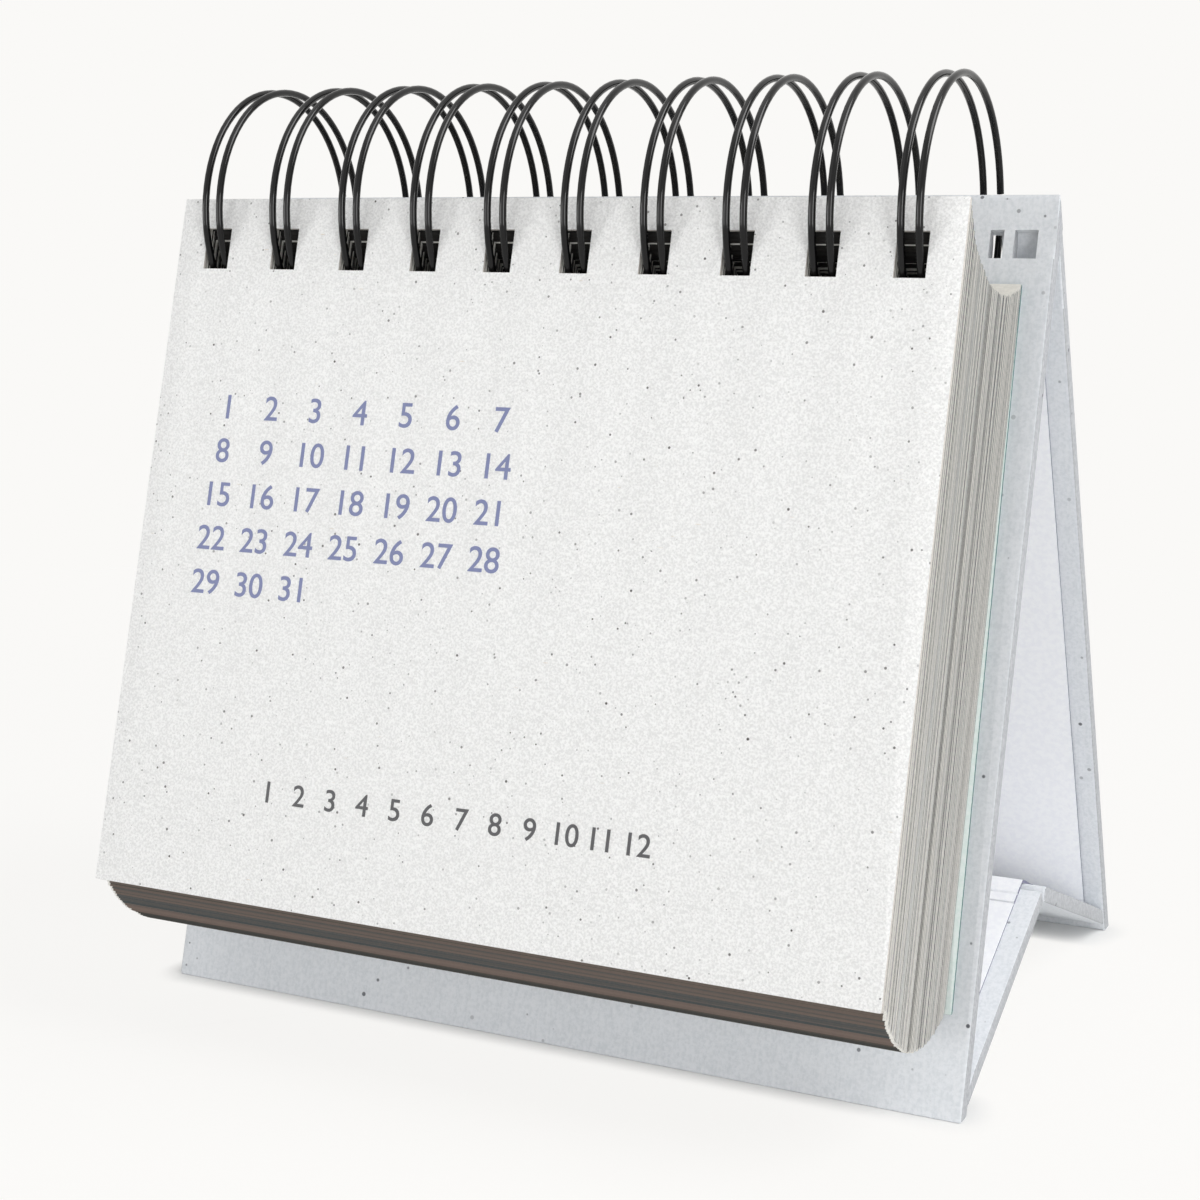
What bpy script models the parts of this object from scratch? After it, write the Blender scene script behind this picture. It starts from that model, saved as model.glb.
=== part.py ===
"""Perpetual desk calendar: a wire-bound block of leaves that hangs on a folding card easel.

Units are metres, +Z is up and the front looks along -Y. The origin lies on the table, under the middle
of the calendar's box. Every length below is a real size, and the rest of the model is worked out from them.
"""

import math

import bmesh
import bpy
import numpy as np
from mathutils import Matrix
from mathutils import Vector

MM = 0.001

# Cover and leaves, lying back on the easel
COVER_WIDTH = 129.0 * MM
COVER_HEIGHT = 109.0 * MM
COVER_THICKNESS = 0.8 * MM
COVER_CLEARANCE = 25.0 * MM      # cover's bottom edge above the table
LEAF_INSET = 0.1 * MM            # leaf's side edge inside the cover's
LEAF_SHORTER = 2.3 * MM          # leaf's height less than the cover's
PACK_COUNT = 12                  # one pack of leaves a month
PACK_THICKNESS = 2.15 * MM
BACK_SHEET_THICKNESS = 0.5 * MM
SHEET_CORNER = 0.4 * MM
LEAN = math.radians(15.7)        # block and front board from the vertical

# Punched slots
SLOT_PITCH = 12.7 * MM
SLOT_EDGE = 4.8 * MM             # sheet's top edge down to its slots
SLOT_SIDE_CLEARANCE = 0.4 * MM
SLOT_MARGIN = 2.0 * MM           # least paper beside the last slot
LEAF_SLOT_EDGE = 6.1 * MM        # the same on a leaf
LEAF_HANG = 9.5 * MM             # leaf's top edge down to the wire
PEEP_HEIGHT = 4.3 * MM           # small punched holes at the front board's ends
PEEP_DROP = 7.0 * MM
OUTER_PEEP_WIDTH = 3.5 * MM
OUTER_PEEP_INSET = 4.5 * MM
INNER_PEEP_WIDTH = 2.1 * MM
INNER_PEEP_INSET = 8.9 * MM

# Twin-loop binding wire
WIRE_DIAMETER = 1.1 * MM
TWIN_SPACING = 2.6 * MM
RING_FRONT_REACH = 3.05 * MM     # wire's middle in front of the cover
RING_REAR_REACH = 5.7 * MM       # wire's middle behind the front board's face
RING_CENTRE_RISE = 1.8 * MM      # ring's middle above the cover's top edge, along the cover
SEAM_ANGLE = math.radians(6.0)   # where the loops close, behind the easel's ridge
SEAM_GAP = 0.8 * MM
BEND_RADIUS = 1.4 * MM
LOOP_POINTS = 24

# Easel of wrapped boards
EASEL_MARGIN = 4.1 * MM          # easel beyond the cover at each side
BOARD = 2.2 * MM
BOARD_CORNER = 0.7 * MM
BACK_SLOT_RISE = 2.1 * MM        # play of the back board's slots above the wire
BACK_SLOT_PLAY = 0.5 * MM        # and beside it
BACK_TILT = math.radians(23.8)
FRONT_FLAP_LENGTH = 47.9 * MM
CREST_HEIGHT = 19.9 * MM
CREST_GAP = 0.6 * MM
FLAP_ROOT_GAP = 0.8 * MM
REAR_FLAP_GAP = 7.0 * MM         # paper-only hinge between the rear flap and the back board
FOLD_ANGLE = math.radians(28.0)  # how far the back board swings in
TURN_IN = 3.5 * MM               # wrap folded over each board's edge, left bare by the lining
LINING = 0.4 * MM
LINING_MARGIN = 3.0 * MM
HINGE_PAPER = 0.35 * MM
HINGE_LEG = 6.0 * MM
RIDGE_LEG = 4.2 * MM

# Gap that neighbours keep
FIT = 0.3 * MM

EASEL_WIDTH = COVER_WIDTH + 2 * EASEL_MARGIN
LEAF_WIDTH = COVER_WIDTH - 2 * LEAF_INSET
LEAF_HEIGHT = COVER_HEIGHT - LEAF_SHORTER
WIRE_RADIUS = WIRE_DIAMETER / 2
SLOT_WIDTH = TWIN_SPACING + WIRE_DIAMETER + 2 * SLOT_SIDE_CLEARANCE


def clear_scene():
    """Empty the scene, so that only this model is in it."""
    for old in list(bpy.data.objects):
        bpy.data.objects.remove(old, do_unlink=True)


def new_collection(name):
    """Link an empty collection to the scene."""
    made = bpy.data.collections.new(name)
    bpy.context.scene.collection.children.link(made)
    return made


def to_linear(channel):
    """Turn one sRGB channel, 0 to 255, to the linear value that a shader takes."""
    share = channel / 255
    if share <= 0.04045:
        return share / 12.92
    return ((share + 0.055) / 1.055) ** 2.4


def finish(name, rgb, roughness, metallic=0.0):
    """Make a plain Principled material from an sRGB colour."""
    made = bpy.data.materials.new(name)
    made.use_nodes = True
    shader = made.node_tree.nodes["Principled BSDF"]
    shader.inputs["Base Color"].default_value = [to_linear(c) for c in rgb] + [1.0]
    shader.inputs["Roughness"].default_value = roughness
    shader.inputs["Metallic"].default_value = metallic
    return made


# Section of the easel and the block, as (y, z) points
def turned(angle):
    """Unit vector in the section, turned up from +Y."""
    return Vector((math.cos(angle), math.sin(angle)))


def left_of(direction):
    """Direction turned a quarter turn to the left."""
    return Vector((-direction.y, direction.x))


def inner_apex(corner, first, second):
    """Where the inner faces of two boards meet, whose outer faces meet at the corner."""
    half = math.acos(max(-1.0, min(1.0, first.dot(second)))) / 2
    return corner + (first + second).normalized() * (BOARD / math.sin(half))


def at_height(point, direction, height):
    """Where the line through the point reaches a height."""
    return point + direction * ((height - point.y) / direction.y)


STACK_DEPTH = COVER_THICKNESS + BACK_SHEET_THICKNESS + PACK_COUNT * (PACK_THICKNESS + FIT) + 2 * FIT
RIDGE_HEIGHT = COVER_HEIGHT * math.cos(LEAN) + COVER_CLEARANCE
DOWN_FRONT = turned(-math.pi / 2 - LEAN)
DOWN_BACK = turned(-math.pi / 2 + BACK_TILT)
DEPTH = left_of(DOWN_FRONT)                       # into the block, square to the cover
COVER_TOP_BEFORE_RIDGE = STACK_DEPTH / math.cos(LEAN)
FRONT_REACH = COVER_TOP_BEFORE_RIDGE + COVER_HEIGHT * math.sin(LEAN)
BACK_REACH = RIDGE_HEIGHT * math.tan(BACK_TILT)
RIDGE = Vector(((FRONT_REACH - BACK_REACH) / 2, RIDGE_HEIGHT))
COVER_TOP = RIDGE - Vector((COVER_TOP_BEFORE_RIDGE, 0))
FRONT_FOOT = at_height(RIDGE, DOWN_FRONT, 0)
BACK_FOOT = at_height(RIDGE, DOWN_BACK, 0)
HALF_OPENING = (LEAN + BACK_TILT) / 2
RIDGE_PIVOT = inner_apex(RIDGE, DOWN_FRONT, DOWN_BACK)
CREST = FRONT_FOOT + Vector((math.sqrt(FRONT_FLAP_LENGTH ** 2 - CREST_HEIGHT ** 2), CREST_HEIGHT))
UP_FLAP = (CREST - FRONT_FOOT).normalized()
DOWN_FLAP = (BACK_FOOT - CREST).normalized()
FRONT_PIVOT = inner_apex(FRONT_FOOT, -DOWN_FRONT, UP_FLAP)
REAR_CORNER = inner_apex(BACK_FOOT, -DOWN_BACK, -DOWN_FLAP)

# Ring that the sheets hang on
RING_RADIUS = (RING_FRONT_REACH + STACK_DEPTH + RING_REAR_REACH) / 2
RING_DEPTH = RING_RADIUS - RING_FRONT_REACH
RING_CENTRE = COVER_TOP + DEPTH * RING_DEPTH - DOWN_FRONT * RING_CENTRE_RISE


def wire_drop(depth):
    """How far down the cover's direction the wire's middle runs, at a depth in the block."""
    return math.sqrt(RING_RADIUS ** 2 - (depth - RING_DEPTH) ** 2) - RING_CENTRE_RISE


def slot_height():
    """Slot that lets the wire's slanting way through the cover pass."""
    drop = wire_drop(COVER_THICKNESS)
    slant = RING_RADIUS / (drop + RING_CENTRE_RISE)
    return drop + WIRE_RADIUS * slant + FIT - SLOT_EDGE


SLOT_HEIGHT = slot_height()
SLOT_COUNT = 1 + int((LEAF_WIDTH - SLOT_WIDTH - 2 * SLOT_MARGIN) / SLOT_PITCH)
LOOP_PLACES = [(i - (SLOT_COUNT - 1) / 2) * SLOT_PITCH for i in range(SLOT_COUNT)]


def ring_crossing(face_top, direction, radius):
    """Distance down a face at which a circle round the ring's middle leaves through it."""
    offset = face_top - RING_CENTRE
    middle = -offset.dot(direction)
    return middle + math.sqrt(max(0.0, middle ** 2 - offset.length_squared + radius ** 2))


def crossing_span(direction, inward, swing=0.0, steps=1):
    """Least and greatest distance from the ridge at which the wire passes a board that swings in."""
    reach = WIRE_RADIUS + SLOT_SIDE_CLEARANCE
    found = []
    for step in range(steps + 1):
        turn = Matrix.Rotation(-swing * step / steps, 2)
        top = RIDGE_PIVOT + turn @ (RIDGE - RIDGE_PIVOT)
        for face in (top, top + turn @ inward * BOARD):
            for radius in (RING_RADIUS - reach, RING_RADIUS + reach):
                found.append(ring_crossing(face, turn @ direction, radius))
    return min(found), max(found)


# Tools that make the solids
def link(made, collection, material):
    """Put an object in a collection and give it its material."""
    collection.objects.link(made)
    made.data.materials.append(material)
    return made


def mesh_object(name, shape, place, turn=(0, 0, 0)):
    """Turn a bmesh into an object at a place."""
    data = bpy.data.meshes.new(name)
    bmesh.ops.recalc_face_normals(shape, faces=shape.faces)
    shape.to_mesh(data)
    shape.free()
    made = bpy.data.objects.new(name, data)
    made.location = place
    made.rotation_euler = turn
    return made


def across(point):
    """Section point as a place in the middle of the calendar's width."""
    return Vector((0, point.x, point.y))


def extruded(name, outline, width, pivot):
    """Solid of a section outline, drawn round the pivot and extruded across the width."""
    data = bpy.data.curves.new(name, "CURVE")
    data.dimensions = "2D"
    data.fill_mode = "BOTH"
    data.extrude = width / 2
    spline = data.splines.new("POLY")
    spline.points.add(len(outline) - 1)
    for point, corner in zip(spline.points, outline):
        point.co = (corner.x - pivot.x, corner.y - pivot.y, 0, 1)
    spline.use_cyclic_u = True
    drawn = bpy.data.objects.new(name + "_outline", data)
    bpy.context.scene.collection.objects.link(drawn)
    graph = bpy.context.evaluated_depsgraph_get()
    made_mesh = bpy.data.meshes.new_from_object(drawn.evaluated_get(graph))
    bpy.data.objects.remove(drawn, do_unlink=True)
    bpy.data.curves.remove(data)
    shape = bmesh.new()
    shape.from_mesh(made_mesh)
    bpy.data.meshes.remove(made_mesh)
    bmesh.ops.remove_doubles(shape, verts=shape.verts, dist=0.00001)
    return mesh_object(name, shape, across(pivot), (math.pi / 2, 0, math.pi / 2))


def round_edges(made, chosen, radius):
    """Round the edges that the test picks, with three facets each."""
    shape = bmesh.new()
    shape.from_mesh(made.data)
    edges = [e for e in shape.edges if chosen(*(v.co for v in e.verts))]
    bmesh.ops.bevel(shape, geom=edges, offset=radius, segments=3, profile=0.5, affect="EDGES", material=-1)
    shape.to_mesh(made.data)
    shape.free()


def boxes(name, spans, place, turn):
    """Cutter of separate boxes, each given by its least and greatest x, y and z."""
    shape = bmesh.new()
    for low, high in spans:
        middle = (Vector(low) + Vector(high)) / 2
        size = Vector(high) - Vector(low)
        fit_box = Matrix.Translation(middle) @ Matrix.Diagonal((*size, 1))
        bmesh.ops.create_cube(shape, size=1, matrix=fit_box)
    return mesh_object(name, shape, place, turn)


def cut(made, cutter, collection):
    """Cut a hidden cutter out of a solid."""
    collection.objects.link(cutter)
    cutter.hide_render = True
    cutter.display_type = "WIRE"
    knife = made.modifiers.new("punched", "BOOLEAN")
    knife.operation = "DIFFERENCE"
    knife.solver = "EXACT"
    knife.object = cutter


# Sheets: local x is across, local y is depth and local z is up the sheet, all from the ring's middle
SHEET_TURN = (-LEAN, 0, 0)


def shear_sheet(shape, near, far, near_top, far_top):
    """Slide a sheet's points so that its back face hangs lower or higher than its front."""
    for vert in shape.verts:
        share = (vert.co.y - near) / (far - near)
        top = near_top + (far_top - near_top) * share
        vert.co.y -= RING_DEPTH
        vert.co.z -= top + RING_CENTRE_RISE


def sheet(name, width, height, near, far, near_top, far_top, slot_edge, cutters):
    """Sheet or pack of leaves between two depths, with a slot for each pair of wires.

    The tops are measured down from the cover's top edge, at the front and the back face, and the slot edge
    from the sheet's own top.
    """
    place = across(RING_CENTRE)
    shape = bmesh.new()
    middle = Matrix.Translation((0, (near + far) / 2, -height / 2))
    bmesh.ops.create_cube(shape, size=1, matrix=middle @ Matrix.Diagonal((width, far - near, height, 1)))
    shear_sheet(shape, near, far, near_top, far_top)
    made = mesh_object(name, shape, place, SHEET_TURN)
    half = width / 2 - FIT
    round_edges(made, lambda a, b: a.x * b.x > half ** 2 and abs(a.y - b.y) > (far - near) / 2, SHEET_CORNER)
    over = far - near
    punch = bmesh.new()
    for x in LOOP_PLACES:
        spot = Matrix.Translation((x, (near + far) / 2, -slot_edge - SLOT_HEIGHT / 2))
        bmesh.ops.create_cube(punch, size=1, matrix=spot @ Matrix.Diagonal((SLOT_WIDTH, 3 * over, SLOT_HEIGHT, 1)))
    shear_sheet(punch, near, far, near_top, far_top)
    cut(made, mesh_object(name + "_slots", punch, place, SHEET_TURN), cutters)
    return made


def hung_sheet(name, near, thickness, cutters):
    """Sheet or pack that hangs on the ring, its top following the wire."""
    far = near + thickness
    near_top = wire_drop(near) - LEAF_HANG
    far_top = wire_drop(far) - LEAF_HANG
    return sheet(name, LEAF_WIDTH, LEAF_HEIGHT, near, far, near_top, far_top, LEAF_SLOT_EDGE, cutters)


# Binding wire
def wire_route():
    """Points of the one unbroken wire: each loop goes round, turns back beside itself and runs on."""
    half = TWIN_SPACING / 2
    root = SEAM_ANGLE * RING_RADIUS
    tip = root + 2 * math.pi * RING_RADIUS - WIRE_DIAMETER - SEAM_GAP - half
    bend = min(BEND_RADIUS, (SLOT_PITCH - TWIN_SPACING) / 3)
    quarter = [math.pi / 2 * i / 3 for i in range(4)]
    turn_back = [math.pi * i / 6 for i in range(1, 6)]
    flat = []
    for number, x in enumerate(LOOP_PLACES):
        rise = [root + bend + (tip - root - bend) * i / (LOOP_POINTS - 1) for i in range(LOOP_POINTS)]
        if number > 0:
            flat += [(x - half - bend + bend * math.sin(a), root + bend - bend * math.cos(a)) for a in quarter[:3]]
        flat += [(x - half, along) for along in rise]
        flat += [(x - half * math.cos(a), tip + half * math.sin(a)) for a in turn_back]
        flat += [(x + half, along) for along in reversed(rise)]
        if number < SLOT_COUNT - 1:
            flat += [(x + half + bend - bend * math.cos(a), root + bend - bend * math.sin(a)) for a in quarter[1:]]
    points = []
    for x, along in flat:
        round_ring = turned(along / RING_RADIUS) * RING_RADIUS
        points.append(Vector((x, round_ring.x, round_ring.y)))
    return points


def least_gap(points, spacing):
    """Least gap of a wire to itself, between points laid along it that are not neighbours."""
    laid = []
    travelled = []
    length = 0.0
    for start, end in zip(points, points[1:]):
        run = (end - start).length
        count = max(1, int(run / spacing))
        for i in range(count):
            laid.append(start.lerp(end, i / count))
            travelled.append(length + run * i / count)
        length += run
    places = np.array(laid)
    along = np.array(travelled)
    least = 1.0
    for i in range(len(places)):
        apart = np.abs(along - along[i]) > 2 * math.pi * WIRE_DIAMETER
        if apart.any():
            least = min(least, float(np.linalg.norm(places[apart] - places[i], axis=1).min()))
    return least - WIRE_DIAMETER


def binding_wire():
    """The wire as one bevelled tube, round the ring's middle."""
    points = wire_route()
    data = bpy.data.curves.new("binding_wire", "CURVE")
    data.dimensions = "3D"
    data.bevel_depth = WIRE_RADIUS
    data.bevel_resolution = 1
    data.use_fill_caps = True
    spline = data.splines.new("POLY")
    spline.points.add(len(points) - 1)
    for point, place in zip(spline.points, points):
        point.co = (*place, 1)
    made = bpy.data.objects.new("binding_wire", data)
    made.location = across(RING_CENTRE)
    print(f"binding wire: least gap to itself {least_gap(points, WIRE_DIAMETER / 2) / MM:.2f} mm")
    return made


# Easel
def board_outline(top, pivot, direction, foot):
    """Section of a board that is mitred at the ridge and cut level on the table."""
    mitre = direction * (FIT / 2 / math.sin(HALF_OPENING))
    return [top + mitre, pivot + mitre, at_height(pivot, direction, 0), foot]


def flap_outline(start, direction, first, last, undercut=0.0):
    """Section of a base flap, above the line of its underside, which may start before its upper side."""
    up = left_of(direction) * BOARD
    near = start + direction * first
    far = start + direction * last
    return [near - direction * undercut, far, far + up, near + up]


def lining_outline(start, direction, inward, first, last):
    """Section of a lining sheet that lies on a board's inner face."""
    low = inward * FIT
    high = inward * (FIT + LINING)
    near = start + direction * first
    far = start + direction * last
    return [near + low, far + low, far + high, near + high]


def bent_strip(corner, first, second, first_leg, second_leg, convex):
    """Section of a hinge paper that lies in the corner, or over the crest, of two faces."""
    half = math.acos(first.dot(second)) / 2
    middle = (first + second).normalized() * (-1 if convex else 1)
    sides = []
    for lift in (FIT, FIT + HINGE_PAPER):
        knee = corner + middle * (lift / math.sin(half))
        run = lift / math.tan(half) * (-1 if convex else 1)
        ends = [knee + first * (first_leg - run), knee + second * (second_leg - run)]
        sides.append((ends[0], knee, ends[1]))
    return [*sides[0], *reversed(sides[1])]


def ridge_strip():
    """Section of the paper over the ridge, with a narrow flat top."""
    sides = []
    for lift in (FIT, FIT + HINGE_PAPER):
        line = []
        for direction in (DOWN_FRONT, DOWN_BACK):
            outward = left_of(direction) * (-1 if direction is DOWN_FRONT else 1)
            foot = RIDGE + outward * lift + direction * RIDGE_LEG
            line.append((foot, at_height(foot, direction, RIDGE.y + lift)))
        (front, front_top), (back, back_top) = line
        sides.append((front, front_top, back_top, back))
    return [*sides[0], *reversed(sides[1])]


def at_foot_corner(width):
    """Test for the short edges at a board's two bottom corners, in its own section frame."""
    half = width / 2 - FIT

    def chosen(a, b):
        return a.z * b.z > half ** 2 and abs(a.y - b.y) < FIT / 10 and a.z * b.z > 0

    return chosen


def round_feet(made, width, pivot):
    """Round the two corners of a board that stand on the table."""
    chosen = at_foot_corner(width)
    round_edges(made, lambda a, b: chosen(a, b) and abs(a.y + pivot.y) < FIT, BOARD_CORNER)


def board_slots(name, direction, span, play, extra, cutters_place):
    """Cutter for the ring slots of a board, with any extra holes given as (x, drop, width, height)."""
    first, last = span
    holes = [(x, (first + last) / 2, SLOT_WIDTH + 2 * play, last - first) for x in LOOP_PLACES] + extra
    spans = []
    for x, drop, width, height in holes:
        spans.append(((x - width / 2, -2 * BOARD, -drop - height / 2), (x + width / 2, 3 * BOARD, height / 2 - drop)))
    lean = math.atan2(direction.x, -direction.y)
    return boxes(name, spans, across(cutters_place), (lean, 0, 0))


def build_easel(parts, cutters):
    """Boards, linings and paper hinges of the folding easel."""
    wrap = finish("grey_speckled_wrap", (207, 208, 211), 0.85)
    lining = finish("white_lining", (232, 233, 240), 0.8)
    hinge = finish("hinge_paper", (214, 215, 218), 0.85)
    into_front = left_of(DOWN_FRONT)
    into_back = -left_of(DOWN_BACK)
    over_flap = left_of(UP_FLAP)
    over_rear = left_of(DOWN_FLAP)
    lined_width = EASEL_WIDTH - 2 * TURN_IN

    front_span = crossing_span(DOWN_FRONT, into_front)
    back_span = crossing_span(DOWN_BACK, into_back, FOLD_ANGLE, 12)
    back_span = (back_span[0] - BACK_SLOT_RISE, back_span[1])
    peeps = []
    for inset, width in ((OUTER_PEEP_INSET, OUTER_PEEP_WIDTH), (INNER_PEEP_INSET, INNER_PEEP_WIDTH)):
        for side in (-1, 1):
            peeps.append((side * (EASEL_WIDTH / 2 - inset), PEEP_DROP, width, PEEP_HEIGHT))

    front = extruded("front_board", board_outline(RIDGE, RIDGE_PIVOT, DOWN_FRONT, FRONT_FOOT), EASEL_WIDTH, RIDGE)
    round_feet(front, EASEL_WIDTH, RIDGE)
    cut(front, board_slots("front_board_slots", DOWN_FRONT, front_span, 0, peeps, RIDGE), cutters)
    link(front, parts, wrap)

    back = extruded("back_board", board_outline(RIDGE, RIDGE_PIVOT, DOWN_BACK, BACK_FOOT), EASEL_WIDTH, RIDGE_PIVOT)
    round_feet(back, EASEL_WIDTH, RIDGE_PIVOT)
    cut(back, board_slots("back_board_slots", DOWN_BACK, back_span, BACK_SLOT_PLAY, [], RIDGE), cutters)
    link(back, parts, wrap)

    flap_first = (FRONT_PIVOT - FRONT_FOOT).dot(UP_FLAP) + FLAP_ROOT_GAP
    flap_last = FRONT_FLAP_LENGTH - CREST_GAP / 2
    undercut = BOARD * DOWN_FRONT.dot(UP_FLAP) / DOWN_FRONT.dot(over_flap)
    flap_section = flap_outline(FRONT_FOOT, UP_FLAP, flap_first, flap_last, undercut)
    flap = extruded("base_front_flap", flap_section, EASEL_WIDTH, FRONT_PIVOT)
    link(flap, parts, wrap)

    rear_first = CREST_GAP / 2
    rear_last = (REAR_CORNER - CREST).dot(DOWN_FLAP) - REAR_FLAP_GAP
    rear = extruded("base_rear_flap", flap_outline(CREST, DOWN_FLAP, rear_first, rear_last), EASEL_WIDTH, CREST)
    link(rear, parts, wrap)

    ridge = extruded("ridge_hinge_paper", ridge_strip(), EASEL_WIDTH, RIDGE)
    link(ridge, parts, hinge)
    foot_strip = bent_strip(FRONT_PIVOT, -DOWN_FRONT, UP_FLAP, HINGE_LEG, HINGE_LEG, False)
    link(extruded("front_hinge_paper", foot_strip, lined_width, FRONT_PIVOT), parts, hinge)
    crest_top = CREST + (over_flap + over_rear).normalized() * BOARD / over_flap.dot((over_flap + over_rear).normalized())
    crest_strip = bent_strip(crest_top, -UP_FLAP, DOWN_FLAP, HINGE_LEG, HINGE_LEG, True)
    link(extruded("crest_hinge_paper", crest_strip, lined_width, CREST), parts, hinge)
    rear_strip = bent_strip(REAR_CORNER, -DOWN_BACK, -DOWN_FLAP, HINGE_LEG, REAR_FLAP_GAP + HINGE_LEG, False)
    link(extruded("rear_hinge_paper", rear_strip, lined_width, REAR_CORNER), parts, hinge)

    front_inner = RIDGE + into_front * BOARD
    front_end = (FRONT_PIVOT - front_inner).dot(DOWN_FRONT) - HINGE_LEG - LINING_MARGIN
    sheets = [
        ("front_lining", front_inner, DOWN_FRONT, into_front, front_span[1] + LINING_MARGIN, front_end, RIDGE),
    ]
    back_inner = RIDGE + into_back * BOARD
    back_end = (REAR_CORNER - back_inner).dot(DOWN_BACK) - HINGE_LEG - LINING_MARGIN
    sheets.append(("back_lining", back_inner, DOWN_BACK, into_back, back_span[1] + LINING_MARGIN, back_end, RIDGE_PIVOT))
    flap_top = FRONT_FOOT + over_flap * BOARD
    flap_start = flap_first + HINGE_LEG + LINING_MARGIN
    flap_end = flap_last - HINGE_LEG - LINING_MARGIN
    sheets.append(("base_front_lining", flap_top, UP_FLAP, over_flap, flap_start, flap_end, FRONT_PIVOT))
    rear_top = CREST + over_rear * BOARD
    rear_start = rear_first + HINGE_LEG + LINING_MARGIN
    rear_end = rear_last - HINGE_LEG - LINING_MARGIN
    sheets.append(("base_rear_lining", rear_top, DOWN_FLAP, over_rear, rear_start, rear_end, CREST))
    for name, start, direction, inward, first, last, pivot in sheets:
        outline = lining_outline(start, direction, inward, first, last)
        link(extruded(name, outline, lined_width, pivot), parts, lining)


def build_block(parts, cutters):
    """Cover, month packs, back sheet and the wire that binds them."""
    card = finish("flecked_cover_card", (238, 237, 234), 0.8)
    paper = finish("leaf_paper", (206, 204, 198), 0.9)
    mint = finish("mint_back_sheet", (198, 222, 214), 0.85)
    black = finish("black_coated_wire", (16, 17, 18), 0.35, 0.4)

    cover = sheet("front_cover", COVER_WIDTH, COVER_HEIGHT, 0, COVER_THICKNESS, 0, 0, SLOT_EDGE, cutters)
    link(cover, parts, card)
    near = COVER_THICKNESS + FIT
    for month in range(1, PACK_COUNT + 1):
        link(hung_sheet(f"leaf_pack_{month:02d}", near, PACK_THICKNESS, cutters), parts, paper)
        near += PACK_THICKNESS + FIT
    link(hung_sheet("back_sheet", near, BACK_SHEET_THICKNESS, cutters), parts, mint)
    link(binding_wire(), parts, black)


def report_places():
    """Print the places that the joints and the resting faces lie at."""
    places = {
        "ring middle": RING_CENTRE,
        "ridge pivot": RIDGE_PIVOT,
        "front flap pivot": FRONT_PIVOT,
        "crest": CREST,
        "front foot": FRONT_FOOT,
        "back foot": BACK_FOOT,
    }
    for name, place in places.items():
        print(f"{name}: y {place.x:.6f} z {place.y:.6f}")


def main():
    """Build the calendar."""
    clear_scene()
    parts = new_collection("perpetual_calendar")
    cutters = new_collection("perpetual_calendar_cutters")
    build_easel(parts, cutters)
    build_block(parts, cutters)
    report_places()


main()
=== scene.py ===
"""Looks of a perpetual desk calendar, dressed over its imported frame.

The block of leaves, its card cover and the black twin-loop wire hang on an easel of boards wrapped in grey
speckled paper. Sizes are metres, +Z is up and the cover looks along -Y.
"""

from __future__ import annotations

import logging
import math
import random
from dataclasses import dataclass
from dataclasses import field
from enum import Enum
from enum import IntEnum
from typing import Any
from typing import Iterable
from typing import Sequence

import bmesh
import bpy
from mathutils import Matrix
from mathutils import Vector
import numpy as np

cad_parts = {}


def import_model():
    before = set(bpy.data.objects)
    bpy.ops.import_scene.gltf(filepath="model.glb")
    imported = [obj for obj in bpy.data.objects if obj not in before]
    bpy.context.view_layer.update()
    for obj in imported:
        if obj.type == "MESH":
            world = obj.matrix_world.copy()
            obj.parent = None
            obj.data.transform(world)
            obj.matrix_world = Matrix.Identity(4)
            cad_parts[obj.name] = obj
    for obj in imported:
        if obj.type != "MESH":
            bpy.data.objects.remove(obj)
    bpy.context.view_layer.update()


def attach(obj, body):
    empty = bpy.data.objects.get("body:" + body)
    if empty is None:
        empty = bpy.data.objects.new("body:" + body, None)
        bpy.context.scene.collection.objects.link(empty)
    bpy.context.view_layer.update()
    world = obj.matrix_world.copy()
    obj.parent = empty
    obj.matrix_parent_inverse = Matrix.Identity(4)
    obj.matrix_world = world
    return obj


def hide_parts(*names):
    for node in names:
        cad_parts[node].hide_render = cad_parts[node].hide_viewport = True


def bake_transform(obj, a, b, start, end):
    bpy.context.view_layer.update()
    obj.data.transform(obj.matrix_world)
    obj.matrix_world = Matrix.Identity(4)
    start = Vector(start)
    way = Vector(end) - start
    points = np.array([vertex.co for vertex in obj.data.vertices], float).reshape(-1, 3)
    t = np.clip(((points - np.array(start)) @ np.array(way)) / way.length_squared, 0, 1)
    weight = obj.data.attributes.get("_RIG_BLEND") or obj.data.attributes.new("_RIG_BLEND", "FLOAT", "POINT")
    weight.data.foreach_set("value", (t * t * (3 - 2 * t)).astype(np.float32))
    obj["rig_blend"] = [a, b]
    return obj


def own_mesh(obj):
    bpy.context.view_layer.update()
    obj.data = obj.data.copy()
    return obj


MM = 0.001
LOG = logging.getLogger("desk_calendar")

# Reaches, areas and angles that tell points, faces and edges apart
TOUCH = 1e-6
CUT_REACH = 1e-7
WELD = 0.001 * MM
SLIVER_AREA = 1e-13
FACING = 0.7
SQUARE_EDGE = math.radians(50)
SMOOTH_UNDER = math.radians(38)

# Sockets of a Mix node that is set to blend colours
MIX_SHARE, MIX_FIRST, MIX_SECOND, MIX_RESULT = 0, 6, 7, 2

# Specks in paper: the pattern's turn off the axes, the faintest speck, and the share of a radius that fades
SPECK_TURN = (0.5, 0.4, 0.9)
SPECK_FAINT = 0.25
SPECK_FADE = 0.25


class Slot(Enum):
    """Material slots of the record."""

    WRAP = "wrap"
    LINING = "lining"
    HINGE = "hinge_paper"
    COVER = "cover_card"
    LEAF = "leaf_paper"
    MINT = "mint_sheet"
    WIRE = "wire"


class LeafPart(IntEnum):
    """Parts of a leaf, in the order of its finishes."""

    PAGE = 0
    SIDE = 1
    FOOT = 2
    SLOT = 3


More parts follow.
